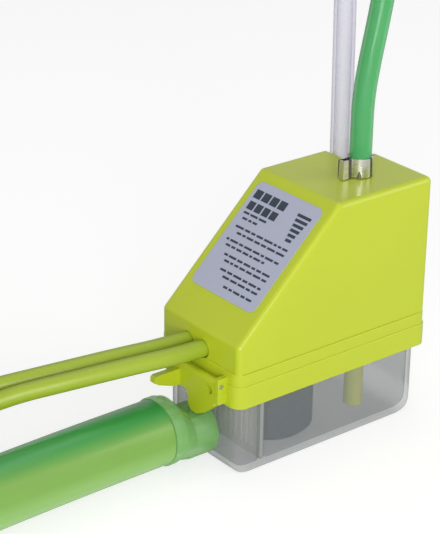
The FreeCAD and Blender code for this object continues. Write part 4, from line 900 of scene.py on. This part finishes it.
@dataclass
class Cable:
    """A round cable that leaves the housing, falls to the floor and ends in a tied round coil.

    The turns are counted from the outside: each has its steps inward and its layer, both in
    pitches. The strap's span is in half turns round its section, and its lap is in radians.
    """

    name: str
    route: Route
    floor: float
    tail_angle: float = 210.0
    radius: float = 3.6 * MM
    pitch: float = 7.2 * MM
    outermost: float = 42.8 * MM
    raised: float = 0.9 * MM
    points_per_turn: int = 24
    whole_turns: int = 5
    turn_steps: tuple[float, ...] = (0.0, 1.0, 2.0, 1.5, 0.5, 1.0, 1.0)
    turn_layers: tuple[float, ...] = (0.0, 0.0, 0.0, 1.0, 1.0, 2.0, 2.0)
    ramp_share: float = 0.2
    strap_angle: float = 70.2
    strap_width: float = 8.0 * MM
    strap_thickness: float = 0.6 * MM
    strap_gap: float = 0.2 * MM
    strap_span: float = 2.24
    strap_points: int = 132
    lap_start: float = -0.5
    lap_rise: float = 0.4
    lap_lift: float = 1.15
    stub: float = 24.0 * MM
    stub_shares: tuple[float, ...] = (0.3, 0.65, 1.0)
    core_spread: float = 1.4 * MM
    core_radius: float = 1.1 * MM
    core_length: float = 8.5 * MM
    tip_radius: float = 0.7 * MM
    tip_start: float = 8.3 * MM
    tip_end: float = 12.0 * MM
    rod_end: float = 0.15 * MM
    rod_end_width: float = 0.85
    stated_length: float = 1.4

    @property
    def layer(self) -> float:
        """The height of a layer, because each round section lies between two below it."""
        return self.pitch * math.sqrt(3) / 2

    def run(self) -> Array:
        """The route's points in metres."""
        return np.array(self.route) * MM

    def centre(self) -> Array:
        """The middle of the coil: one coil radius to the side of the route's end.

        Returns:
            The point, on the floor that the coil lies on.
        """
        run = self.run()
        heading = run[-1] - run[-2]
        heading[2] = 0.0
        heading /= np.linalg.norm(heading)
        outward = np.array([heading[1], -heading[0], 0.0])
        middle = run[-1] + outward * self.outermost
        middle[2] = self.floor
        return middle

    def coil(self) -> Array:
        """The coil's turns, clockwise seen from above.

        The angle runs on evenly. The radius and the height are steps, one for each turn, joined
        by a smooth ramp over the last share of a turn: the bottom layer goes inwards, the second
        outwards, and the top turn lies on both.

        Returns:
            An array of n points.
        """
        middle = self.centre()
        start = self.run()[-1] - middle
        first = math.atan2(start[1], start[0])
        last = math.radians(self.tail_angle)
        rest = ((first - last) / (2 * math.pi)) % 1.0
        radii = self.outermost - self.pitch * np.array(self.turn_steps)
        heights = self.raised + self.radius + self.layer * np.array(self.turn_layers)
        turns = self.whole_turns + rest
        steps = np.linspace(0.0, turns, int(turns * self.points_per_turn) + 1)[1:]
        whole = np.floor(steps).astype(int)
        ramp = np.clip((steps - whole - (1.0 - self.ramp_share)) / self.ramp_share, 0.0, 1.0)
        ramp = ramp * ramp * (3.0 - 2.0 * ramp)
        radius = radii[whole] + (radii[whole + 1] - radii[whole]) * ramp
        height = heights[whole] + (heights[whole + 1] - heights[whole]) * ramp
        angle = first - steps * 2 * math.pi
        swell = 1.0 / math.cos(math.pi / self.points_per_turn)
        level = [np.cos(angle) * radius * swell, np.sin(angle) * radius * swell]
        return middle + np.stack([*level, height], axis=1)

    def tail(self) -> tuple[Array, Array]:
        """Where the free end leaves the top turn.

        Returns:
            The point, and the direction along the turn.
        """
        angle = math.radians(self.tail_angle)
        spoke = np.array([math.cos(angle), math.sin(angle), 0.0])
        tangent = np.array([spoke[1], -spoke[0], 0.0])
        height = self.raised + self.radius + 2 * self.layer
        top = spoke * (self.outermost - self.pitch) + np.array([0.0, 0.0, height])
        return self.centre() + top, tangent

    def strap(self) -> Piece:
        """A strap pulled tight round the coil's section, with its end lapped over its start.

        Its line is, for each direction round the section, the turn that reaches furthest that way
        plus an offset in that direction. The offset grows by a thickness ahead of the lap. The
        line is bent round the coil's axis.

        Returns:
            The piece.
        """
        turns = np.stack([np.negative(self.turn_steps), self.turn_layers], axis=1)
        turns = turns[:self.whole_turns] * (self.pitch, self.layer)
        turns = turns + (self.outermost, self.raised + self.radius)
        direction = np.linspace(0.0, self.strap_span * math.pi, self.strap_points)
        outward = np.stack([np.cos(direction), np.sin(direction)], axis=1)
        furthest = turns[np.argmax(outward @ turns.T, axis=1)]
        lap = np.clip((direction - 2 * math.pi - self.lap_start) / self.lap_rise, 0.0, 1.0)
        offset = self.strap_thickness * (0.5 + self.lap_lift * lap)
        offset = self.radius + self.strap_gap + offset
        half, thin = self.strap_width / 2, self.strap_thickness / 2
        bevel = self.strap_thickness / 4
        section = np.array([[half - bevel, -thin], [half, bevel - thin],
                            [half, thin - bevel], [half - bevel, thin],
                            [bevel - half, thin], [-half, thin - bevel],
                            [-half, bevel - thin], [bevel - half, -thin]])
        lift = offset[:, None, None] + section[None, :, 1:]
        reach = furthest[:, None] + outward[:, None] * lift
        angle = math.radians(self.strap_angle) + section[:, 0] / (self.outermost - self.pitch)
        level = [reach[..., 0] * np.cos(angle), reach[..., 0] * np.sin(angle)]
        turned = np.stack([*level, reach[..., 1]], axis=-1)
        return dress(capped_rows(self.name + "_strap", self.centre() + turned), Finishes.BLACK)

    def cores(self) -> list[Piece]:
        """Three stripped cores with bare tips, out of the free end of the sheath.

        Each is a circle carried along a line, with its ends drawn in a little.

        Returns:
            The six pieces.
        """
        start, tangent = self.tail()
        across = np.cross(UP, tangent)
        end = [CLOSED_END, self.rod_end_width, 1.0]
        widths = np.array(end + end[::-1])
        pieces = []
        spread = ((-1.0, -0.5, Finishes.CORE_BROWN, "brown"),
                  (1.0, -0.5, Finishes.CORE_BLUE, "blue"), (0.0, 1.0, Finishes.CORE_GREEN, "green"))
        for sideways, up, finish, word in spread:
            offset = across * sideways + np.array([0.0, 0.0, up])
            origin = start + tangent * self.stub + offset * self.core_spread
            rods = (("core", self.core_radius, 0.0, self.core_length, finish),
                    ("tip", self.tip_radius, self.tip_start, self.tip_end, Finishes.TIP))
            for kind, radius, low, high, coat in rods:
                inner, outer = low + self.rod_end, high - self.rod_end
                stations = np.array([low, low, inner, outer, high, high])
                line = origin + stations[:, None] * tangent
                rod = capped_tube(f"{self.name}_{kind}_{word}", line, -across, np.array(UP),
                                  radius * widths)
                pieces.append(dress(rod, coat))
        return pieces

    def build(self) -> None:
        start, tangent = self.tail()
        ends = np.stack([start + tangent * self.stub * part for part in self.stub_shares])
        points = np.vstack([self.run(), self.coil(), ends])
        cord = dress(spline(self.name + "_cord", points, self.radius), Finishes.CABLE)
        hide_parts(self.name, self.name + "_coil", self.name + "_end")
        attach(cord, Body.HOUSING.value)
        cores = self.cores()
        for core in cores:
            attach(core, Body.HOUSING.value)
        strap = self.strap()
        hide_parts(self.name + "_tie")
        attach(strap, Body.HOUSING.value)
        log.info("%s: %d control points, %d core pieces", self.name, len(points), len(cores))


@dataclass
class Hose:
    """A free hose with a real wall, its bore open at both ends."""

    node: str
    body: Body
    slot: str
    finish: ClearPlastic
    route: Route
    outer: float
    inner: float
    stated_length: float
    steady: Point = UP
    lip: float = 0.3 * MM
    around: int = 56

    def build(self) -> None:
        """Carry two circles along the route's spline and join them by lips into one skin."""
        path = read_line(np.array(self.route) * MM)
        ahead, across, above = frames(path, np.array(self.steady))
        ring = circle(across, above, self.around)
        inset = np.zeros((len(path), 1))
        inset[0], inset[-1] = self.lip, -self.lip
        spine = path + ahead * inset
        outside = spine[:, None] + ring * self.outer
        inside = (spine[:, None] + ring * self.inner)[::-1]
        wide, narrow = self.outer - self.lip, self.inner + self.lip
        lips = [path[end] + ring[end] * radius
                for end, radius in ((-1, wide), (-1, narrow), (0, narrow), (0, wide))]
        rows = np.concatenate([outside, lips[:2], inside, lips[2:]])
        faces = grid_faces(len(rows), self.around, True, True)
        item = dress(mesh_object(self.node + "_wall", rows, faces.tolist()), self.finish)
        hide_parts(self.node)
        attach(item, self.body.value)
        log.info("%s: %d rings along its run", self.node, len(rows))


@dataclass
class Spring:
    """A round-wire spring between the housing and a moving piece."""

    node: str
    moving: Body
    wire: float
    turns: float
    held_at_top: bool
    per_turn: int = 32
    around: int = 12

    def build(self) -> None:
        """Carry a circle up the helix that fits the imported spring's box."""
        low, high = (np.array(corner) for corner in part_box(self.node))
        middle = (low + high) / 2
        radius = (high[0] - low[0]) / 2 - self.wire
        share = np.linspace(0.0, 1.0, int(self.turns * self.per_turn) + 1)
        angle = 2 * math.pi * self.turns * share
        height = low[2] + self.wire + (high[2] - low[2] - 2 * self.wire) * share
        level = [middle[0] + radius * np.cos(angle), middle[1] + radius * np.sin(angle)]
        path = np.stack([*level, height], axis=1)
        _, across, above = frames(path, np.array(UP))
        rows = np.concatenate([[0], np.arange(len(path)), [len(path) - 1]])
        widths = np.full(len(rows), self.wire)
        widths[[0, -1]] *= CLOSED_END
        item = capped_tube(self.node + "_wire", path[rows], across[rows], above[rows], widths,
                           self.around)
        dress(item, Finishes.STEEL)
        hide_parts(self.node)
        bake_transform(item)
        log.info("%s: %.1f turns", self.node, self.turns)


@dataclass(frozen=True)
class Bar:
    """One bar of print: its middle across and down the label, its width and height, in mm."""

    across: float
    down: float
    width: float
    height: float


@dataclass
class RatingLabel:
    """The label's print, which is plain bars only; sizes without MM are in mm.

    A block row has its first block's middle across, the step to the next, its middle down, and a
    block's width and height. A line has its middle down and its two ends across.
    """

    slope_foot: float = 55.7
    slope_front: float = -48.8
    slope_top: float = 103.0
    slope_run: float = 48.7
    film: float = 0.3
    drop: float = 4.9
    ink: float = 0.05 * MM
    sunk: float = 0.02 * MM
    shoulder: float = 0.6
    drawn_in: float = 0.08 * MM
    block_rows: tuple[tuple[float, ...], ...] = ((15.4, 4.9, 5.6, 4.1, 3.9),
                                                 (15.2, 4.5, 10.9, 3.7, 3.7))
    blocks_in_row: int = 4
    stack_first: Bar = Bar(-12.6, 6.0, 7.8, 1.3)
    stack_step: float = 2.2
    stack_taper: float = 0.9
    bars_in_stack: int = 6
    lines: Route = ((14.4, 3.0, 17.0), (16.8, 6.5, 17.0), (20.8, -15.5, 16.5),
                    (23.2, -15.5, 13.0), (26.9, -15.5, 16.0), (29.2, -9.0, 16.0),
                    (32.9, -15.5, 12.0), (35.2, -15.5, 10.0), (38.9, -15.5, 9.0),
                    (41.2, -15.5, 6.0), (44.6, -15.0, 2.0))
    line_height: float = 0.95
    shortest: float = 1.6
    longest: float = 5.0
    gap: float = 0.8
    least_left: float = 1.0
    seed: int = 5

    def bars(self) -> list[Bar]:
        """Two rows of blocks, a stack of tapering bars beside them, and lines of thin bars.

        Returns:
            The bars, row by row.
        """
        draw = np.random.default_rng(self.seed)
        bars = [Bar(first - step * number, down, width, height)
                for first, step, down, width, height in self.block_rows
                for number in range(self.blocks_in_row)]
        top = self.stack_first
        bars += [Bar(top.across, top.down + self.stack_step * number,
                     top.width - self.stack_taper * number, top.height)
                 for number in range(self.bars_in_stack)]
        for down, low, high in self.lines:
            left = low
            while left < high - self.least_left:
                width = min(float(draw.uniform(self.shortest, self.longest)), high - left)
                bars.append(Bar(left + width / 2, down, width, self.line_height))
                left += width + self.gap
        return bars

    def build(self) -> None:
        """Lay each bar on the label's face as a thin plate with drawn-in edges, in one mesh."""
        tangent = (self.slope_top - self.slope_foot) / self.slope_run
        stretch = math.hypot(1.0, tangent)
        down = np.array([-1.0, 0.0, -tangent]) / stretch
        side = np.array([0.0, 1.0, 0.0])
        normal = np.array([-tangent, 0.0, 1.0]) / stretch
        top = np.array([self.slope_front + self.slope_run, 0.0, self.slope_top])
        corner = (top + down * self.drop + normal * self.film) * MM
        bars = self.bars()
        boxes = [[bar.across, bar.down, bar.width / 2, bar.height / 2] for bar in bars]
        spans = np.array(boxes) * MM
        signs = np.array([[-1, -1], [1, -1], [1, 1], [-1, 1]], float)
        levels = ((-self.sunk, 0.0), (self.ink * self.shoulder, 0.0), (self.ink, self.drawn_in))
        rings = []
        for lift, shrink in levels:
            across = spans[:, 0, None] + signs[None, :, 0] * (spans[:, 2, None] - shrink)
            along = spans[:, 1, None] + signs[None, :, 1] * (spans[:, 3, None] - shrink)
            flat = across[..., None] * side + along[..., None] * down
            rings.append(corner + flat + lift * normal)
        stack = np.stack(rings, axis=1)
        # A bar has three rings of four corners: its walls, its top and its underside.
        walls = grid_faces(3, 4, False, True)
        block = np.concatenate([walls, [[8, 11, 10, 9], [0, 1, 2, 3]]])
        faces = (block[None] + 12 * np.arange(len(bars))[:, None, None]).reshape(-1, 4)
        item = dress(mesh_object("label_print", stack, faces[:, ::-1].tolist()), Finishes.PRINT)
        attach(item, Body.HOUSING.value)
        log.info("label: %d bars", len(bars))


class CarriedOver:
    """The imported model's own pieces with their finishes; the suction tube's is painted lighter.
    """

    NODES: tuple[tuple[Finish, str], ...] = (
        (Finishes.LIME, "upper_housing base_plate reservoir_latch"),
        (Finishes.TUB, "reservoir_tub"),
        (Finishes.CUFF, "inlet_cuff"),
        (Finishes.SUCTION, "suction_tube"),
        (Finishes.LABEL, "rating_label"),
        (Finishes.BAND, "discharge_clamp"),
        (Finishes.FOAM, "float_body"),
        (Finishes.FERRITE, "float_magnet"),
        (Finishes.RUBBER, "reservoir_gasket rubber_mounts inlet_valve_ball outlet_valve_ball"),
        (Finishes.RUBBER, "o_rings"),
        (Finishes.STEEL, "base_screws latch_pin yoke_frame piston board_screws clamp_screws"),
        (Finishes.WHITE, "strainer_plate coil_bobbin breather_spigot terminal_block"),
        (Finishes.BLACK, "inlet_manifold thermal_cutout inlet_valve_body outlet_valve_body"),
        (Finishes.BLACK, "discharge_spigot relay hall_sensor cable_clamp"),
        (Finishes.COPPER, "coil_winding"),
        (Finishes.BRASS, "pump_tube"),
        (Finishes.BOARD, "circuit_board"),
        (Finishes.CAN, "capacitor"),
        (Finishes.CORE_BROWN, "cable_inner_cores"),
    )

    def build(self) -> None:
        """Put the finishes on the nodes."""
        for finish, nodes in self.NODES:
            for node in nodes.split():
                dress(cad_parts[node], finish)
        log.info("carried over: %s", " ".join(nodes for _, nodes in self.NODES))


POWER_ROUTE: Route = (
    (-32.0, -2.2, 47.5), (-55.5, -2.2, 47.5), (-79.0, 3.0, 47.0), (-101.0, 10.8, 44.4),
    (-124.0, 21.6, 40.2), (-143.0, 31.0, 31.5), (-162.0, 40.4, 19.0), (-181.0, 49.8, 8.2),
    (-200.0, 59.2, 4.5))
ALARM_ROUTE: Route = (
    (-32.0, 7.3, 47.5), (-55.5, 7.3, 47.5), (-79.0, 12.5, 47.0), (-101.0, 20.3, 44.4),
    (-124.0, 31.1, 40.2), (-143.0, 40.5, 36.0), (-162.0, 49.9, 31.3), (-181.0, 59.3, 27.8),
    (-200.0, 68.7, 26.4))
INLET_ROUTE: Route = (
    (-69.5, 0.0, 16.6), (-97.0, 0.0, 16.6), (-126.0, 0.2, 16.0), (-156.0, 0.6, 15.0),
    (-185.0, -3.0, 14.5), (-211.0, -11.0, 14.4), (-234.0, -22.5, 14.3))
DISCHARGE_ROUTE: Route = (
    (26.5, -5.4, 103.4), (26.5, -5.4, 119.0), (26.6, -5.3, 135.0), (29.4, -5.4, 151.0),
    (32.8, -5.6, 166.5), (35.6, -5.5, 181.0))
BREATHER_ROUTE: Route = ((39.5, 20.0, 46.2), (39.5, 20.0, 104.0), (37.8, 19.9, 178.0))


def main() -> None:
    """Build the scene: the studio and the cords first, then the rest."""
    logging.basicConfig(level=logging.INFO, format="%(name)s %(message)s")
    upright = (1.0, 0.0, 0.0)
    pieces = (
        Studio(),
        Cable("power_cable", POWER_ROUTE, floor=0.0),
        Cable("alarm_cable", ALARM_ROUTE, floor=21.9 * MM),
        Hose("inlet_hose", Body.RESERVOIR, "hose_green", Finishes.HOSE, INLET_ROUTE,
             outer=13.3 * MM, inner=11.9 * MM, stated_length=0.17),
        Hose("discharge_hose", Body.HOUSING, "hose_green", Finishes.DISCHARGE, DISCHARGE_ROUTE,
             outer=4.5 * MM, inner=3.2 * MM, stated_length=0.079, steady=upright),
        Hose("breather_tube", Body.HOUSING, "tube_clear", Finishes.BREATHER, BREATHER_ROUTE,
             outer=4.5 * MM, inner=3.2 * MM, stated_length=0.132, steady=upright),
        Spring("piston_return_spring", Body.PISTON, 0.3 * MM, 5.0, held_at_top=False),
        Spring("piston_buffer_spring", Body.PISTON, 0.3 * MM, 5.0, held_at_top=True),
        Spring("inlet_valve_spring", Body.INLET_BALL, 0.25 * MM, 1.5, held_at_top=True),
        Spring("outlet_valve_spring", Body.OUTLET_BALL, 0.25 * MM, 1.5, held_at_top=True),
        CarriedOver(),
        RatingLabel(),
    )
    for piece in pieces:
        piece.build()


if __name__ == "__main__":
    main()
